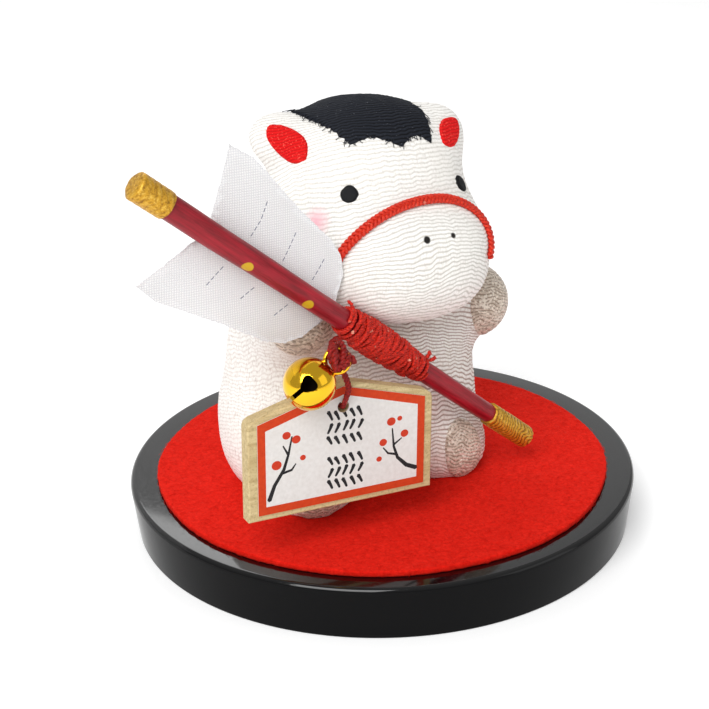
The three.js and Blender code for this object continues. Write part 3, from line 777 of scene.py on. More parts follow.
def make_mane(crepe, tree):
    """A black cap with a toothed and frayed fringe that runs down the back of the head."""
    aim = (0, -0.25, 1)
    upwards = (0, 1, 0)
    border = along_edges([
        (5.5, 1.5), (5, 9), (4.5, 24), (2, 27), (-2, 27), (-4.5, 24), (-6, 12), (-12.8, 8.1),
        (-11.2, 0.1), (-10.4, -4.6), (-6.9, -4.9), (-1.8, -7.7), (0.8, -6), (2.7, -6), (4.8, -7.1),
        (5.9, -0.7),
    ], 0.36)
    fray = np.random.default_rng(5).normal(0, 0.1, len(border))
    border = border * (1 + fray / np.linalg.norm(border, axis=1))[:, None]
    points, faces = patch(*head_forms, aim, upwards, border, 0.3, 0.04, 95)
    ribs = (head_rise, 0.7, 0.16, 31, head_middle)
    mane = ribbed_cloth("crepe_mane", points, faces, crepe, ribs, 0.2)

    fray_count = 150
    rng = np.random.default_rng(8)
    share = np.linspace(0, 1, 6)[:, None]
    runs = []
    for corner in rng.choice(len(border), fray_count, replace=False):
        along = border[(corner + 1) % len(border)] - border[corner - 1]
        outward = np.array([along[1], -along[0]]) / np.linalg.norm(along)
        lean = np.array([-outward[1], outward[0]]) * rng.uniform(-0.9, 0.9)
        length = rng.uniform(0.6, 1.3)
        flat = border[corner] + outward * (share * length - 0.35) + lean * share ** 2 * length
        ways = ways_to(head_form, head_centre, aim, upwards, flat)
        lift = 0.42 - 0.22 * share[:, 0]
        places = np.array(head_centre) + ways * reach(head_form, head_centre, ways, lift)[:, None]
        runs.append((put(head_frame, places), ways @ head_frame[:3, :3].T))
    frays = lay_cord("mane_frays", runs, tree, {
        "Step": 0.2, "Strands": 1, "Strand Radius": 0.055, "Half Width": 0, "Half Height": 0,
        "Lay Length": 1, "Lobes": 1,
    }, crepe)
    join(mane, frays)
    hand_in(mane, "black_crepe", "mane")


def make_face(lining_crepe, plastic):
    """Red ear linings and black eyes. The two sides were set by hand, so they differ a little."""
    # Side, aim of the ear, the lining's half length, half width and tilt, and aim of the eye
    sides = [
        ("right", (-16.2, -0.5, 12.3), (2.8, 2.3, -14), (-11.2, -10.9, 6.3)),
        ("left", (9.5, -7.4, 14.2), (3.1, 2.1, 0), (9.6, -11.4, 6.8)),
    ]
    eye_radius = 1.4
    ribs = (head_rise, 0.6, 0.14, 41, head_middle)
    for side, ear_aim, leaf, eye_aim in sides:
        border = oval(*leaf, count=72, point=1.5)
        points, faces = patch(*head_forms, ear_aim, head_upright, border, 0.33, 0.12, 22)
        lining = ribbed_cloth(f"crepe_ear_lining_{side}", points, faces, lining_crepe, ribs, 0.12)
        hand_in(lining, "red_crepe", f"ear_lining_{side}")

        border = oval(eye_radius, eye_radius)
        border = border * (1 + 0.04 * ripple(oval(1, 1), np.eye(2), 1.2, 45))[:, None]
        points, faces = patch(*head_forms, eye_aim, head_upright, border, 0.42, 0.2, 12)
        eye = make(f"bead_eye_{side}", points, faces, [plastic])
        hand_in(eye, "eye", f"eye_{side}")


def make_hooves(crepe):
    """Lame crepe wrapped over the ends of the arms and legs."""
    # Name, end of the limb, the way it faces, and half the cloth's width and height
    hooves = [
        ("hand_right", hand_right, (-0.3, -1, 0.1), (7.6, 7)),
        ("hand_left", hand_left, (0.65, -0.75, 0.1), (7.8, 7.6)),
        ("foot_right", foot_right, (-0.3, -1, 0.1), (5, 5.6)),
        ("foot_left", foot_left, (0.02, -1, 0.14), (3.7, 5.6)),
    ]
    ribs = ((0.15, 0.3, 0.9), 0.62, 0.4, 53)
    for name, end, aim, halves in hooves:
        border = oval(*halves, count=150)
        points, faces = patch(
            figure_frame, body_form, end, aim, (0, 0, 1), border, 0.42, 0.1, 60, limit=room)
        hoof = ribbed_cloth(f"lame_hoof_{name}", points, faces, crepe, ribs, 0.18)
        hand_in(hoof, "lame", f"hoof_{name}")


# Cords

def open_tree(name, measures, counts):
    """A geometry node tree that takes a mesh, some measures, some counts and a material."""
    tree = bpy.data.node_groups.new(name, "GeometryNodeTree")
    sockets = [("Geometry", "Geometry")] + [(measure, "Float") for measure in measures]
    sockets += [(count, "Int") for count in counts] + [("Material", "Material")]
    for socket, kind in sockets:
        tree.interface.new_socket(socket, in_out="INPUT", socket_type=f"NodeSocket{kind}")
    tree.interface.new_socket("Geometry", in_out="OUTPUT", socket_type="NodeSocketGeometry")
    return tree, add(tree, "NodeGroupInput").outputs


def close_tree(tree, geometry, material):
    """Ends a geometry node tree: plain mesh in the material, given out."""
    real = add(tree, "GeometryNodeRealizeInstances", {"Geometry": geometry}).outputs["Geometry"]
    coloured = add(tree, "GeometryNodeSetMaterial", {"Geometry": real, "Material": material})
    add(tree, "NodeGroupOutput", {"Geometry": coloured.outputs["Geometry"]})
    return tree


def strand_tree():
    """Nodes that lay strands round a path whose points know which way is out. They go round it as
    a twisted cord with 1 lobe, and weave a braid with 2."""
    measures = ["Step", "Strand Radius", "Half Width", "Half Height", "Lay Length"]
    tree, given = open_tree("strands laid along a path", measures, ["Strands", "Lobes"])
    path = add(tree, "GeometryNodeMeshToCurve", {"Mesh": given["Geometry"]}).outputs["Curve"]
    path = add(tree, "GeometryNodeResampleCurve", {
        "Curve": path, "Length": given["Step"],
    }, mode="LENGTH").outputs["Curve"]
    copies = add(tree, "GeometryNodeDuplicateElements", {
        "Geometry": path, "Amount": given["Strands"],
    }, domain="SPLINE")

    def maths(operation, first, second=0.0):
        return add(tree, "ShaderNodeMath", {0: first, 1: second}, operation=operation).outputs["Value"]

    def scaled(way, amount):
        node = add(tree, "ShaderNodeVectorMath", {0: way, "Scale": amount}, operation="SCALE")
        return node.outputs["Vector"]

    out = add(tree, "GeometryNodeInputNamedAttribute", {"Name": "out"}, data_type="FLOAT_VECTOR")
    out = out.outputs["Attribute"]
    tangent = add(tree, "GeometryNodeInputTangent").outputs["Tangent"]
    side = add(tree, "ShaderNodeVectorMath", {0: out, 1: tangent}, operation="CROSS_PRODUCT")
    side = add(tree, "ShaderNodeVectorMath", {0: side.outputs["Vector"]}, operation="NORMALIZE")
    length = add(tree, "GeometryNodeSplineParameter").outputs["Length"]
    lays = maths("DIVIDE", length, given["Lay Length"])
    phase = maths("DIVIDE", copies.outputs["Duplicate Index"], given["Strands"])
    angle = maths("MULTIPLY", maths("ADD", lays, phase), 2 * math.pi)
    sideways = maths("MULTIPLY", maths("COSINE", angle), given["Half Width"])
    outwards = maths("SINE", maths("MULTIPLY", angle, given["Lobes"]))
    outwards = maths("MULTIPLY", outwards, given["Half Height"])
    offset = add(tree, "ShaderNodeVectorMath", {
        0: scaled(side.outputs["Vector"], sideways), 1: scaled(out, outwards),
    }, operation="ADD").outputs["Vector"]
    laid = add(tree, "GeometryNodeSetPosition", {
        "Geometry": copies.outputs["Geometry"], "Offset": offset,
    }).outputs["Geometry"]

    ring = add(tree, "GeometryNodeCurvePrimitiveCircle", {
        "Resolution": 7, "Radius": given["Strand Radius"],
    }).outputs["Curve"]
    tubes = add(tree, "GeometryNodeCurveToMesh", {
        "Curve": laid, "Profile Curve": ring, "Fill Caps": True,
    }).outputs["Mesh"]
    smooth = add(tree, "GeometryNodeSetShadeSmooth", {"Geometry": tubes}).outputs["Geometry"]
    return close_tree(tree, smooth, given["Material"])


def lay_cord(name, runs, tree, sizes, material):
    """A cord of strands along one or more runs, each the points of its path and their ways out.
    The sizes are in mm."""
    points = np.vstack([path for path, _ in runs])
    outs = np.vstack([out for _, out in runs])
    edges = []
    first = 0
    for path, _ in runs:
        edges += [(first + k, first + k + 1) for k in range(len(path) - 1)]
        first += len(path)
    mesh = bpy.data.meshes.new(name)
    mesh.from_pydata((points * MM).tolist(), edges, [])
    mesh.attributes.new("out", "FLOAT_VECTOR", "POINT").data.foreach_set("vector", outs.ravel())
    cord = bpy.data.objects.new(name, mesh)
    bpy.context.scene.collection.objects.link(cord)
    counts = ("Strands", "Lobes")
    inputs = {key: value if key in counts else value * MM for key, value in sizes.items()}
    grow(cord, tree, {**inputs, "Material": material})
    return cord


def smooth_path(points, steps):
    """Evenly many points on the curve through some points that holds its shape where they are
    unevenly spaced."""
    points = np.array(points, float)
    points = np.vstack([2 * points[0] - points[1], points, 2 * points[-1] - points[-2]])
    curve = []
    for before, start, end, after in zip(points, points[1:], points[2:], points[3:]):
        corners = (before, start, end, after)
        first, middle, last = [np.linalg.norm(b - a) ** 0.5 for a, b in zip(corners, corners[1:])]
        leave = (start - before) / first - (end - before) / (first + middle) + (end - start) / middle
        arrive = (end - start) / middle - (after - start) / (middle + last) + (after - end) / last
        leave, arrive = leave * middle, arrive * middle
        for t in np.arange(steps) / steps:
            cubic = (2 * start - 2 * end + leave + arrive) * t ** 3
            curve.append(cubic + (-3 * start + 3 * end - 2 * leave - arrive) * t ** 2 + leave * t + start)
    return np.array(curve + [points[-2]])


def slope_of(form, points):
    """The outward direction of a form at points."""
    step = 0.05
    slopes = np.column_stack([
        form(points + step * way) - form(points - step * way) for way in np.eye(3)
    ])
    return slopes / np.linalg.norm(slopes, axis=1)[:, None]


def make_bridle(tree, cord):
    """A flat braid over the nose, from cheek to cheek."""
    turns = np.radians(np.linspace(-80, 112, 110))
    breadth = np.where(turns < 0, 16.6, 10.7)
    drop = np.where(turns < 0, 10.2, 6.8)
    starts = np.column_stack([
        1.6 + breadth * np.sin(turns), np.zeros(len(turns)), 5.5 - drop * (1 - np.cos(turns)),
    ])
    forward = np.tile([0.0, -1.0, 0.0], (len(turns), 1))
    path = starts + forward * reach(head_form, starts, forward)[:, None]
    out = slope_of(head_form, path)
    lift = 0.55
    run = (put(head_frame, path + out * lift), out @ head_frame[:3, :3].T)
    bridle = lay_cord("braided_bridle", [run], tree, {
        "Step": 0.16, "Strands": 3, "Strand Radius": 0.3, "Half Width": 0.58, "Half Height": 0.2,
        "Lay Length": 2.3, "Lobes": 2,
    }, cord)
    hand_in(bridle, "red_cord", "bridle")


def shaft_radius(along):
    """Radius of the tapered shaft, along mm from the nock."""
    return (nock_diameter + (tip_diameter - nock_diameter) * along / arrow_length) / 2


def wrap_radius(along):
    """Outer radius of the winding, which bulges in its upper half."""
    share = np.clip((along - wrap_start) / wrap_length, 0, 1)
    return shaft_radius(along) + wrap_depth + wrap_bulge * np.sin(math.pi * share ** 0.7)


def round_shaft(along, turns, radius):
    """Points round the arrow in the world, and their ways out. Turn 0 faces the front and the
    turns go up from there."""
    out = np.column_stack([np.zeros(len(turns)), -np.cos(turns), np.sin(turns)])
    points = np.column_stack([along, np.zeros(len(turns)), np.zeros(len(turns))]) + out * radius[:, None]
    return put(arrow_frame, points), out @ arrow_frame[:3, :3].T


def make_winding(tree, cord):
    """Red cord wound round the shaft: close turns, then a few loose ones that cross them."""
    half = 0.34
    close_turns = 31
    crossing_turns = 18
    share = np.linspace(0, 1, close_turns * 20)
    turns = 2 * math.pi * close_turns * share
    along = wrap_start + half + (wrap_length - 2 * half) * share
    along = along + 0.16 * np.sin(turns * 0.37) + 0.14 * np.sin(turns * 0.81 + 1)
    along = along + 0.1 * np.sin(turns * 1.3)
    radius = wrap_radius(along) - half - 0.1 * (1 + np.sin(turns * 0.23))
    runs = [round_shaft(along, turns, radius)]
    rng = np.random.default_rng(21)
    for _ in range(crossing_turns):
        start = rng.uniform(0.02, 0.6)
        end = min(0.98, start + rng.uniform(0.2, 0.4))
        share = np.linspace(0, 1, 90)
        turns = rng.uniform(0, 6) + 2 * math.pi * rng.uniform(0.6, 1.6) * rng.choice([-1, 1]) * share
        along = wrap_start + wrap_length * (start + (end - start) * share)
        radius = wrap_radius(along) - half + rng.uniform(0, 0.22) + 0.06 * np.sin(turns * 3)
        runs.append(round_shaft(along, turns, radius))
    # Distance from the winding's start, turn, lean along the shaft, and length
    loose_ends = [
        (19.2, 1.5, 1.1, 1.7), (18.9, 1.25, 0.5, 1.5), (19.5, 1.2, 1.5, 1.2), (0.9, 1.3, -0.9, 1.0),
    ]
    for start, turn, lean, length in loose_ends:
        share = np.linspace(0, 1, 12)
        along = wrap_start + start + lean * share
        radius = wrap_radius(along) - half + length * share * (1.3 - 0.5 * share)
        runs.append(round_shaft(along, turn + 0.35 * share ** 2, radius))
    winding = lay_cord("wound_cord", runs, tree, {
        "Step": 0.24, "Strands": 2, "Strand Radius": 0.2, "Half Width": 0.17, "Half Height": 0.17,
        "Lay Length": 0.95, "Lobes": 1,
    }, cord)
    hand_in(winding, "red_cord", "cord_wrap")


def make_hanging_cord(tree, cord):
    """From the winding through the bell's ring and the plaque's hole, and up again behind. Its
    points are listed one by one, as on the solid model."""
    gap = 0.3
    clear = hang_cord_diameter / 2 + gap

    def below(along, front, down, distance):
        way = unit(0, -front, -down) * (wrap_radius(along) + distance)
        return put(arrow_frame, np.array([along, way[1], way[2]]))

    def in_plaque(x, y, z):
        return put(plaque_frame, np.array([x, y, z], float))

    ring = put(bell_frame, np.array([0, 0, bell_radius + ring_radius - bell_wall]))
    points = [
        below(wrap_start + 1.4, 0.35, 0.95, gap),
        below(wrap_start + 1.2, 0.5, 0.95, 1.6),
        ring + 1.3 * bell_face + (0.3, 0.2, 0.5),
        ring,
        ring - 1.2 * bell_face + (0.1, 0.1, -0.1),
        in_plaque(0.1, -label_thickness - clear - 0.7, plaque_apex - 0.5),
        in_plaque(0, -label_thickness - clear, plaque_hole_height + 1.5),
        in_plaque(0, 0.1, plaque_hole_height),
        in_plaque(0, plaque_thickness - 0.1, plaque_hole_height),
        in_plaque(0, plaque_thickness + clear, plaque_hole_height + 1.6),
        in_plaque(0.3, plaque_thickness + clear, plaque_apex),
        below(wrap_start + 2.6, -0.4, 0.95, 1.6),
        below(wrap_start + 2.8, -0.4, 0.95, gap),
    ]
    out = unit(0.3, -0.8, 0.5)
    knot = ring + (0.2, -0.5, 1.0)
    across = unit(*np.cross(out, (0, 0, 1)))
    turns = np.linspace(0, 2 * math.pi, 160)
    loops = knot + (1.6 * np.cos(2 * turns))[:, None] * across
    loops = loops + (1.8 * np.sin(3 * turns + 0.5))[:, None] * np.cross(across, out)
    loops = loops + (0.6 * np.sin(5 * turns))[:, None] * out
    path = smooth_path(points, 12)
    pieces = [
        lay_cord(name, [(line, np.tile(out, (len(line), 1)))], tree, {
            "Step": 0.15, "Strands": 2, "Strand Radius": 0.3, "Half Width": 0.25, "Half Height": 0.25,
            "Lay Length": 1.5, "Lobes": 1,
        }, cord)
        for name, line in (("hanging_twisted_cord", path), ("cord_knot", loops))
    ]
    hanging, knot = pieces
    hand_in(hanging, "red_cord", "hanging_cord")
    hand_in(knot, "red_cord", "hanging_cord")


# Arrow

def along_arrow(points):
    """Points turned about Z, as points of the arrow, whose own X runs from nock to tip."""
    return put(arrow_frame @ placing((0, 0, 0), ("Y", 90)), points)


def make_shaft():
    """The round shaft, whittled a little unevenly, with two dabs of gold on its front."""
    dabs = []
    for along, up in ((21.3, -1.2), (34.0, -1.1)):
        front = -math.sqrt(shaft_radius(along) ** 2 - up ** 2)
        dabs.append(("c9a01c", put(arrow_frame, np.array([along, front, up])), 0.9, 0.12))

    def waver(turns, z):
        return 0.05 * np.sin(2 * turns + z * 0.13) + 0.03 * np.sin(3 * turns - z * 0.31)

    steps = np.linspace(0, arrow_length, 120)
    profile = [(0, 0)] + [(shaft_radius(z), z) for z in steps] + [(0, arrow_length)]
    points, faces = turn_round(profile, 48, waver)
    shaft = make("stained_shaft", along_arrow(points), faces, [red_wood(dabs)])
    hand_in(shaft, "red_wood", "arrow_shaft")


def make_caps():
    """Gold crepe pulled over both ends of the shaft and creased over their edges."""
    crepe = gold_crepe()
    wall = 0.22
    # Name, end and mouth along the shaft, pitch of the creases, and slack
    caps = [("nock", 0, 5.5, 1.2, 0.4), ("tip", arrow_length, arrow_length - 10.4, 0.75, 1.0)]
    for name, end, mouth, pitch, slack in caps:
        outward = math.copysign(1, end - mouth)
        rim = shaft_radius(end)
        corners = [(0, mouth, 0.05), (shaft_radius(mouth) - 0.1, mouth, 0.05)]
        corners += [(shaft_radius(z) + wall, z, 0) for z in np.linspace(mouth, end, 90)]
        corners += [(rim - 0.1, end, 0.25), (rim - 0.7, end, 0.32), (0, end, 0.3)]
        profile = [(radius, z + outward * beyond) for radius, z, beyond in corners]
        if outward < 0:
            profile = profile[::-1]
        points, faces = turn_round(profile, 80)
        points = along_arrow(points)
        cap = make(f"crepe_{name}_cap", points, faces, [crepe])
        height, count = crepe_rise(points, arrow_frame[:3, 0], pitch, 0.5, 61)
        raise_ribs(cap, height, count, 0.2, slack=slack)
        hand_in(cap, "gold_crepe", f"arrow_{name}_cap")


# Flat work: cloth, board and paper

def plate(outline, marks, thickness, bevel=0.0, spacing=None):
    """A flat plate between an outline of [u, v] points and what is marked on its front. A mark is
    a border and its kind; later ones lie on top, and kind None is a hole. Spacing spreads inner
    points so that the plate can bend. Returns points (u, depth, v), faces and their kinds."""
    borders = [(outline, 0)] + list(marks)
    spots = [tuple(point) for border, _ in borders for point in border]
    rings = []
    first = 0
    for border, _ in borders:
        rings.append(list(range(first, first + len(border))))
        first += len(border)
    if spacing:
        low, high = np.min(outline, axis=0), np.max(outline, axis=0)
        for u in np.arange(low[0] + spacing / 2, high[0], spacing):
            spots += [(u, v) for v in np.arange(low[1] + spacing / 2, high[1], spacing)]
    cut = delaunay_2d_cdt([Vector(spot) for spot in spots], [], rings, 1, 1e-5)
    flat = np.array([tuple(point) for point in cut[0]])
    front = []
    kinds = []
    for face, sources in zip(cut[2], cut[5]):
        kind = borders[max(sources)][1]
        if kind is not None:
            front.append(list(face))
            kinds.append(kind)
    sides = dict.fromkeys(side for face in front for side in zip(face, face[1:] + face[:1]))
    edges = [(a, b) for a, b in sides if (b, a) not in sides]
    inward = np.zeros_like(flat)
    touching = np.zeros(len(flat))
    for a, b in edges:
        run = flat[b] - flat[a]
        left = np.array([-run[1], run[0]]) / max(np.linalg.norm(run), 1e-9)
        for corner in (a, b):
            inward[corner] += left
            touching[corner] += 1
    size = np.maximum((inward ** 2).sum(1), 1e-9)
    inward = inward * (2 / size)[:, None] * (touching > 0)[:, None]
    count = len(flat)
    slim = flat + inward * bevel
    layers = [(slim, 0), (flat, bevel), (flat, thickness - bevel), (slim, thickness)]
    points = np.vstack([
        np.column_stack([layer[:, 0], np.full(count, depth), layer[:, 1]]) for layer, depth in layers
    ])
    faces = front + [[3 * count + corner for corner in reversed(face)] for face in front]
    kinds = kinds + [0] * len(front)
    for a, b in edges:
        for layer in range(3):
            near, far = layer * count, (layer + 1) * count
            faces.append([near + b, near + a, far + a, far + b])
            kinds.append(0)
    used = sorted({corner for face in faces for corner in face})
    new = {corner: k for k, corner in enumerate(used)}
    return points[used], [[new[corner] for corner in face] for face in faces], kinds


def dot(u, v, radius, squash=1.0):
    """A small round border about a point."""
    return oval(radius, radius * squash, count=20) + np.array([u, v])


def stroke(points, widths):
    """The border of a brush stroke through points, with its full width at each."""
    points = np.array(points, float)
    runs = np.gradient(points, axis=0)
    runs /= np.linalg.norm(runs, axis=1)[:, None]
    left = np.column_stack([-runs[:, 1], runs[:, 0]]) * (np.array(widths) / 2)[:, None]
    ends = [points[0] - runs[0] * widths[0] * 0.35, points[-1] + runs[-1] * widths[-1] * 0.35]
    return np.vstack([[ends[0]], points - left, [ends[1]], (points + left)[::-1]])


def make_fletching():
    """A sheet of stiff cloth with a vane on each side of the shaft, swept back at the nock end, and
    broken lines across it that stand for barbs."""
    start, length, notch, half_width = 9.9, 30.6, 4.6, 12
    shape = [
        (0, 1), (0.14, 1.04), (0.3, 0.96), (0.5, 0.86), (0.78, 0.76), (0.88, 0.66), (0.95, 0.48), (1, 0.14),
    ]
    edge = [(start + along * length, across * half_width) for along, across in shape]
    outline = along_edges(edge[::-1] + [(start + notch, 0)] + [(a, -b) for a, b in edge], 0.5)
    outline = outline[::-1] if polygon_area(outline) < 0 else outline
    outline = outline + np.random.default_rng(3).normal(0, 0.05, outline.shape)
    barbs = [
        [(20.1, 8.4), (20.9, 5.7), (21.1, 2.3)], [(27.4, 7.0), (28.2, 2.2)], [(34.4, 6.1), (34.6, 2.3)],
        [(20.0, -3.0), (19.3, -6.7)], [(26.5, -3.2), (25.4, -6.2)], [(33.3, -2.7), (32.1, -5.7)],
    ]
    stitch_length = 0.62
    marks = []
    for line in map(np.array, barbs):
        spans = np.linalg.norm(np.diff(line, axis=0), axis=1)
        passed = np.concatenate([[0], np.cumsum(spans)])
        for dash in np.arange(0, spans.sum() - 0.5, 1.0):
            ends = [
                [np.interp(d, passed, line[:, axis]) for axis in (0, 1)]
                for d in (dash, dash + stitch_length)
            ]
            marks.append((stroke(ends, [0.15, 0.15]), 1))
    thickness = 0.24
    points, faces, kinds = plate(outline, marks, thickness, spacing=1.1)
    front = shaft_radius(start) + 0.08
    u, depth, v = points.T
    flutter = 0.22 * np.sin(u * 0.21 + 1) * (v / 12) + 0.16 * np.sin(v * 0.5 + u * 0.12)
    away = np.clip((np.abs(v) - 2) / 6, 0, 1)
    bent = np.column_stack([u, front + depth + flutter * away, v])
    tilted = put(placing((0, 0, 0), ("X", 4)), bent)
    cloth = make("woven_fletching", put(arrow_frame, tilted), faces, [
        vane_cloth("stiffened white weave", "efeeed", "d8d7d9"),
        vane_cloth("grey stitched lines", "7c808d", "6c7182"),
    ], kinds)
    hand_in(cloth, "vane_cloth", "fletching")


def polygon_area(outline):
    """The area inside a border, positive where it runs anticlockwise."""
    u, v = np.asarray(outline).T
    return 0.5 * float(np.sum(u * np.roll(v, -1) - v * np.roll(u, -1)))


def gable(half_width, foot, side, apex):
    """The house-shaped border of the board and of its label, from the right lower corner on."""
    return [(half_width, foot), (half_width, side), (0, apex), (-half_width, side), (-half_width, foot)]


def make_board(wood):
    """The board, sawn and lightly rounded, with clipped eaves and the cord hole."""
    clip = 0.9
    slope = (plaque_apex - plaque_side_height) / plaque_half_width
    eaves = [
        (plaque_half_width, plaque_side_height - clip),
        (plaque_half_width - 0.28 * clip, plaque_side_height - 0.25 * clip),
        (plaque_half_width - clip, plaque_side_height + clip * slope),
    ]
    right = [(plaque_half_width, 0)] + eaves
    outline = right + [(0, plaque_apex)] + [(-u, v) for u, v in right[::-1]]
    hole = dot(0, plaque_hole_height, plaque_hole_radius)
    points, faces, kinds = plate(along_edges(outline, 2.5), [(hole, None)], plaque_thickness, bevel=0.22)
    board = make("softwood_board", put(plaque_frame, points), faces, [wood], kinds)
    board.data.shade_flat()
    hand_in(board, "board", "plaque_board")


def plum_twig(path, widths, branches):
    """A bare twig with short side branches, as borders."""
    return [stroke(path, widths)] + [stroke(*branch) for branch in branches]


def make_label():
    """The printed label: a red border, two rows of brush strokes that spell nothing, and a twig of
    red buds on each side."""
    half, foot, apex = 14.4, 1, 19.9
    slope = (plaque_apex - plaque_side_height) / plaque_half_width
    side = apex - slope * half
    border_width = 1.3
    outer = gable(half, foot, side, apex)
    inner = gable(half - border_width, foot + border_width,
                  side - border_width + 0.15, apex - border_width * 1.04)
    marks = [(outer, 1), (inner, 0)] + [(border, 2) for border in brush_rows()]
    twigs = plum_twig(
        [(-12.6, 3.3), (-11.7, 5.6), (-10.1, 8.0), (-9.3, 10.4), (-8.7, 13.2)],
        [0.75, 0.62, 0.55, 0.42, 0.25],
        [([(-10.4, 7.4), (-8.8, 7.7), (-8.1, 8.6)], [0.45, 0.4, 0.22]),
         ([(-9.3, 10.2), (-10.2, 11.9)], [0.42, 0.22])],
    ) + plum_twig(
        [(13, 3.9), (11.2, 4.7), (9.6, 6.3), (8.9, 8.3), (8.6, 11.4)], [0.75, 0.7, 0.55, 0.42, 0.25],
        [([(9.3, 6.9), (7.9, 7.3), (7.0, 8.4)], [0.42, 0.35, 0.2]),
         ([(8.9, 8.6), (10.3, 9.5)], [0.4, 0.2])],
    )
    marks += [(border, 2) for border in twigs]
    # Place and radius of each bud
    buds = [
        (-9.6, 13.5, 0.7), (-8.0, 12.6, 0.74), (-11.3, 8.9, 0.84), (-6.9, 9.4, 0.5),
        (8.4, 12.6, 0.78), (7.0, 9.3, 0.68), (10.8, 10.2, 0.7), (6.3, 6.6, 0.5), (9.9, 12.9, 0.45),
    ]
    marks += [(dot(*bud, squash=0.9), 3) for bud in buds]
    marks.append((dot(0, plaque_hole_height, plaque_hole_radius), None))
    forward = 0.18
    points, faces, kinds = plate(outer, marks, label_thickness)
    label = make("paper_label", put(plaque_frame, points - np.array([0, forward, 0])), faces, [
        printed_paper("coated paper", "dddad7", "d3cfcb"),
        printed_paper("orange red print", "ca3f16", "bd3611"),
        printed_paper("black print", "1b1a1c", "29272a"),
        printed_paper("red print", "c83c22", "b93018"),
    ], kinds)
    label.data.shade_flat()
    hand_in(label, "paper", "plaque_label")


def brush_rows():
    """Two blocks of bold brush dabs in the label's middle, in rows that lean to and fro. They touch
    nowhere and spell nothing."""
    rng = np.random.default_rng(12)
    borders = []
    for foot, height in ((10.2, 6.2), (2.9, 5.9)):
        for row in range(3):
            lean = 0.34 if row % 2 else -0.34
            for column in range(5):
                u = 0.3 + (column - 2) * 1.3 + rng.uniform(-0.1, 0.1)
                v = foot + height * (row + 0.5) / 3 + rng.uniform(-0.12, 0.12)
                end = np.array([lean, rng.uniform(0.58, 0.72)])
                spots = [(u - end[0], v - end[1]), (u + 0.05, v), (u + end[0], v + end[1])]
                borders.append(stroke(spots, [0.4, 0.5, 0.66]))
    return borders


# Stand and felt

def make_stand(lacquer):
    """The stand: a turned disc with a slight taper to its foot and a rounded upper edge."""
    edge_round = 0.9
    foot_round = 0.3
    foot_radius = 44.2
    arc = np.radians(np.linspace(0, 90, 10))
    rise, fall = 1 - np.sin(arc), 1 - np.cos(arc)
    profile = [(0, 0), (foot_radius - 8, 0)]
    profile += zip(foot_radius - foot_round * rise, foot_round * fall)
    profile += zip(stand_radius - edge_round * fall, stand_height - edge_round * rise)
    profile += [(stand_radius - 5, stand_height), (0, stand_height)]
    points, faces = turn_round(profile, 256)
    stand = make("lacquered_stand", points, faces, [lacquer])
    hand_in(stand, "lacquer", "stand")


def fuzz_tree():
    """Nodes that scatter short bent fibres over the upper side of a mesh."""
    measures = ["Per Square Metre", "Fibre Length", "Fibre Radius"]
    tree, given = open_tree("fibres scattered on felt", measures, ["Seed"])
    normal = add(tree, "GeometryNodeInputNormal").outputs["Normal"]
    upward = add(tree, "ShaderNodeSeparateXYZ", {"Vector": normal}).outputs["Z"]
    upper = add(tree, "FunctionNodeCompare", {0: upward, 1: -0.5}, operation="GREATER_THAN").outputs[0]
    scatter = add(tree, "GeometryNodeDistributePointsOnFaces", {
        "Mesh": given["Geometry"], "Selection": upper, "Density": given["Per Square Metre"],
        "Seed": given["Seed"],
    })
    arch = add(tree, "GeometryNodeCurveQuadraticBezier", {
        "Resolution": 3, "Start": (-0.5, 0, -0.02), "Middle": (0.1, 0.1, 0.45), "End": (0.5, 0.25, -0.02),
    }).outputs["Curve"]
    size = add(tree, "ShaderNodeCombineXYZ", {way: given["Fibre Length"] for way in "XYZ"})
    sized = add(tree, "GeometryNodeTransform", {"Geometry": arch, "Scale": size.outputs["Vector"]})
    ring = add(tree, "GeometryNodeCurvePrimitiveCircle", {
        "Resolution": 3, "Radius": given["Fibre Radius"],
    }).outputs["Curve"]
    fibre = add(tree, "GeometryNodeCurveToMesh", {
        "Curve": sized.outputs["Geometry"], "Profile Curve": ring, "Fill Caps": True,
    }).outputs["Mesh"]
    turn = add(tree, "FunctionNodeRandomValue", {
        "Min": (-0.3, -0.3, 0.0), "Max": (0.3, 0.3, 6.28), "Seed": given["Seed"],
    }, data_type="FLOAT_VECTOR").outputs[0]
    length = add(tree, "FunctionNodeRandomValue", {
        2: 0.5, 3: 1.5, "Seed": given["Seed"],
    }, data_type="FLOAT").outputs[1]
    laid = add(tree, "GeometryNodeInstanceOnPoints", {
        "Points": scatter.outputs["Points"], "Instance": fibre, "Rotation": scatter.outputs["Rotation"],
        "Scale": length,
    }).outputs["Instances"]
    turned = add(tree, "GeometryNodeRotateInstances", {"Instances": laid, "Rotation": turn})
    whole = add(tree, "GeometryNodeJoinGeometry")
    for part in (given["Geometry"], turned.outputs["Instances"]):
        tree.links.new(part, whole.inputs["Geometry"])
    return close_tree(tree, whole.outputs["Geometry"], given["Material"])


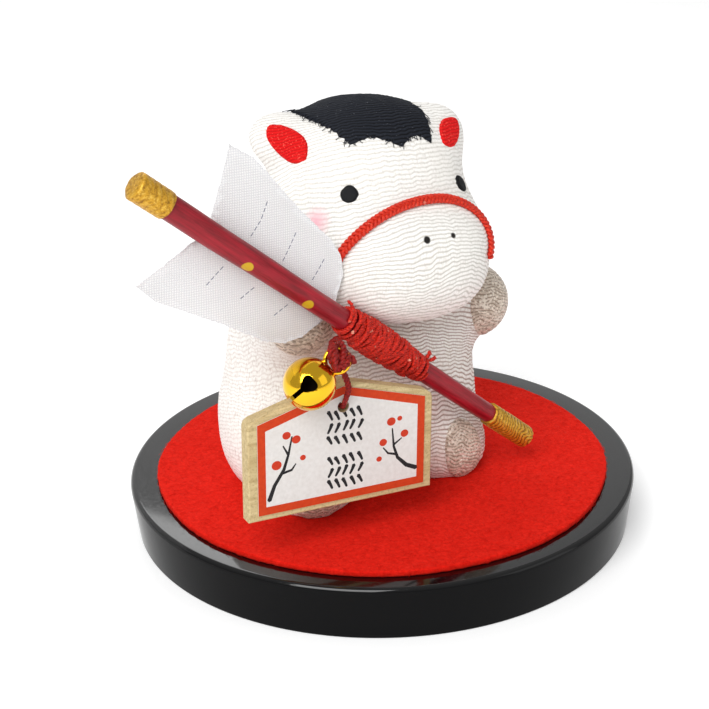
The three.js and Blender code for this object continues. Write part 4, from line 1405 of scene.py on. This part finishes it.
def make_felt(felt):
    """The felt mat, cut by hand, with a soft edge and loose fibres."""
    radius = 40
    wobble = 0.2
    shift = (-0.8, -1.4)
    spokes = 320
    rings = 62
    fibre_length = 0.9
    fibre_radius = 0.016
    turns = np.arange(spokes) * 2 * math.pi / spokes
    rng = np.random.default_rng(9)
    edge = radius - wobble + wobble * np.sin(3 * turns) * np.sin(5 * turns + 1)
    edge = edge + rng.normal(0, 0.04, spokes)
    arc = np.radians(np.linspace(0, 90, 5))
    soft = 0.35
    rows = [(1 - (1 - math.cos(a)) * soft / radius, felt_top - soft * (1 - math.sin(a))) for a in arc]
    rows = [(1.0, felt_floor), (1.0, felt_floor + 0.3)] + rows
    rows += [(share, felt_top) for share in np.linspace(0.985, 0.02, rings)]
    profile = [(0, felt_floor), *rows, (0, felt_top)]
    points, faces = turn_round(profile, spokes)
    scale = np.concatenate([np.tile(edge, len(rows)), [0, 0]])
    points[:, :2] = points[:, :2] * scale[:, None] + shift
    lumps = ripple(points, np.eye(3), 2.2, 71) + 0.7 * ripple(points, np.eye(3), 6, 72)
    points[:, 2] += np.where(points[:, 2] > felt_top - 0.05, 0.035 * (lumps - 1.5), 0)
    mat = make("wool_felt_mat", points, faces, [felt])
    grow(mat, fuzz_tree(), {
        "Per Square Metre": 1.5e6, "Fibre Length": fibre_length * MM, "Fibre Radius": fibre_radius * MM,
        "Seed": 4, "Material": felt,
    })
    hand_in(mat, "felt", "felt_mat")


# Bell

def make_bell(plate_gold, inside_shade):
    """A pressed jingle bell: a thin shell, darkened inside as painted shade, with a rounded
    three-cornered hole, a slot from it over the foot, and a wire ring on top."""
    slot_width = 0.7
    hole_radius = 1.22
    front = 1.5 * bell_radius
    slot_back = 0.4 * bell_radius
    arc = np.radians(np.linspace(-90, 90, 49))
    shells = []
    for name, radius in (("plated_bell", bell_radius), ("bell_hollow", bell_radius - bell_wall)):
        profile = [(radius * math.cos(a), radius * math.sin(a)) for a in arc]
        points, faces = turn_round(profile, 96)
        shells.append(make(name, points, faces, [plate_gold]))
    bell, hollow = shells
    turns = np.radians(np.arange(0, 360, 6))
    corners = hole_radius * (1 + 0.13 * np.cos(3 * (turns + math.pi / 2)))
    half = slot_width / 2
    cuts = [
        ("keyhole", np.column_stack([corners * np.cos(turns), corners * np.sin(turns)]), front),
        ("slot", [(half, 0.2), (-half, 0.2), (-half, -1.2 * bell_radius), (half, -1.2 * bell_radius)],
         front + slot_back),
    ]
    cutters = [hollow]
    for name, outline, length in cuts:
        points, faces, _ = plate(outline, [], length)
        cutters.append(make(name, points - np.array([0, front, 0]), faces, [plate_gold]))
    for cutter in cutters:
        cut = bell.modifiers.new("cut", "BOOLEAN")
        cut.operation = "DIFFERENCE"
        cut.solver = "EXACT"
        cut.object = cutter
    rim = bell.modifiers.new("rim", "BEVEL")
    rim.width = 0.09
    rim.segments = 2
    rim.limit_method = "ANGLE"
    rim.angle_limit = math.radians(40)
    settle(bell)
    for cutter in cutters:
        bpy.data.objects.remove(cutter)
    # The inner faces take the painted shade of the bell's inside.
    bell.data.materials.append(inside_shade)
    for face in bell.data.polygons:
        face.material_index = int(face.center.length < (bell_radius - bell_wall + 0.03) * MM)

    loop = np.radians(np.arange(0, 360, 7.5))
    wire = np.radians(np.arange(0, 360, 30))
    reach_out = ring_radius + ring_wire / 2 * np.cos(wire)[None, :]
    points = np.stack([
        reach_out * np.sin(loop)[:, None],
        np.broadcast_to(ring_wire / 2 * np.sin(wire), (len(loop), len(wire))),
        bell_radius + ring_radius - bell_wall + reach_out * np.cos(loop)[:, None],
    ], -1).reshape(-1, 3)
    faces = round_faces(len(loop), len(wire))
    last = len(points) - len(wire)
    for column in range(len(wire)):
        beside = (column + 1) % len(wire)
        faces.append([last + column, last + beside, beside, column])
    ring = make("bell_ring", points, [face[::-1] for face in faces], [plate_gold])
    join(bell, ring)
    place = Matrix(bell_frame.tolist())
    place.translation *= MM
    bell.data.transform(place)
    hand_in(bell, "gold", "bell")


# Staging

def light(name, at, aim, size, watts):
    """A square soft white light at a place in metres, turned to a point."""
    lamp = bpy.data.lights.new(name, "AREA")
    lamp.size = size
    lamp.energy = watts
    thing = bpy.data.objects.new(name, lamp)
    thing.location = at
    thing.rotation_euler = (Vector(aim) - Vector(at)).to_track_quat("-Z", "Y").to_euler()
    bpy.context.scene.collection.objects.link(thing)


def set_stage():
    """A pale sweep of floor and backdrop, soft lights, and the camera at the photograph's view."""
    material = Finish("pale studio sweep", {
        "Base Color": linear("f6f6f6"), "Roughness": 0.9, "Specular IOR Level": 0.1,
        "Emission Color": linear("ffffff"), "Emission Strength": 0.25,
    }).done()
    size = 1.6
    bend = 0.5
    arc = np.radians(np.linspace(0, 90, 12))
    height = 2.2
    half_width = 3.5
    side_view = [(-size, 0), (size, 0), *zip(size + bend * np.sin(arc), bend * (1 - np.cos(arc)))]
    side_view += [(size + bend, height)]
    points = [(x, y, z) for x in (-half_width, half_width) for y, z in side_view]
    count = len(side_view)
    faces = [[k, k + 1, count + k + 1, count + k][::-1] for k in range(count - 1)]
    sweep = make("studio_sweep", np.array(points) / MM, faces, [material])

    world = bpy.data.worlds.new("soft studio")
    world.use_nodes = True
    background = world.node_tree.nodes["Background"].inputs
    background["Color"].default_value = linear("ffffff")
    background["Strength"].default_value = 0.45
    bpy.context.scene.world = world
    light("key", (-0.48, -0.38, 0.6), (0, 0, 0.03), 0.5, 5.2)
    light("fill", (0.5, -0.6, 0.35), (0, 0, 0.03), 0.5, 0.5)
    light("back", (0.2, 0.6, 0.6), (0, 0, 0.03), 0.4, 1.2)

    lens = bpy.data.cameras.new("camera")
    lens.sensor_width = 36
    lens.lens = 71.09
    lens.clip_start = 0.01
    camera = bpy.data.objects.new("camera", lens)
    camera.location = (-0.1135807, -0.1967276, 0.1238123)
    camera.rotation_euler = [math.radians(a) for a in (67.4086, 1.4248, -29.5021)]
    bpy.context.scene.collection.objects.link(camera)
    bpy.context.scene.camera = camera
    bpy.context.scene.view_settings.view_transform = "Standard"


def painted_marks():
    """Blush on both cheeks and two nostrils, painted on the cloth."""
    def on_head(x, y, z):
        return put(head_frame, np.array([x, y, z], float))

    return [
        ("f8b6c2", on_head(-15.8, -9.9, 1.6), 1.5, 3.0),
        ("f8b6c2", on_head(15.4, -10.2, 1.8), 1.5, 3.0),
        ("17120f", on_head(-2.3, -21.0, 0.55), 0.62, 0.2),
        ("17120f", on_head(2.9, -20.8, 0.8), 0.46, 0.2),
    ]


set_stage()
make_stand(black_lacquer())
make_felt(red_felt())
strands = strand_tree()
# The body's shade between ribs is painted darker and warmer, standing for shade lit by red light from the
# felt; the head's is paler, as the head is lit more brightly.
make_body(white_crepe("white crepe", "a58879"))
make_head(white_crepe("white crepe with painted face", "bab4ab", painted_marks()))
make_mane(tinted_crepe("black crepe", "22252d", "040405", "8f9098", 0.7), strands)
make_face(tinted_crepe("red crepe", "dc1517", "b80c0c", "f4584c", 0.6), eye_plastic())
make_hooves(lame_crepe())
make_bridle(strands, red_cord("red rayon braid", 0.99, "b0180c", "e43a1e"))
make_winding(strands, red_cord("red rayon cord with metal thread", 0.98, "8c0c06", "e42a12"))
make_hanging_cord(strands, red_cord("dark red rayon cord", 0.98, "5a0504", "a3140b"))
make_shaft()
make_caps()
make_fletching()
make_board(pale_board())
make_label()
make_bell(gold_plate(), shaded_bell_inside())
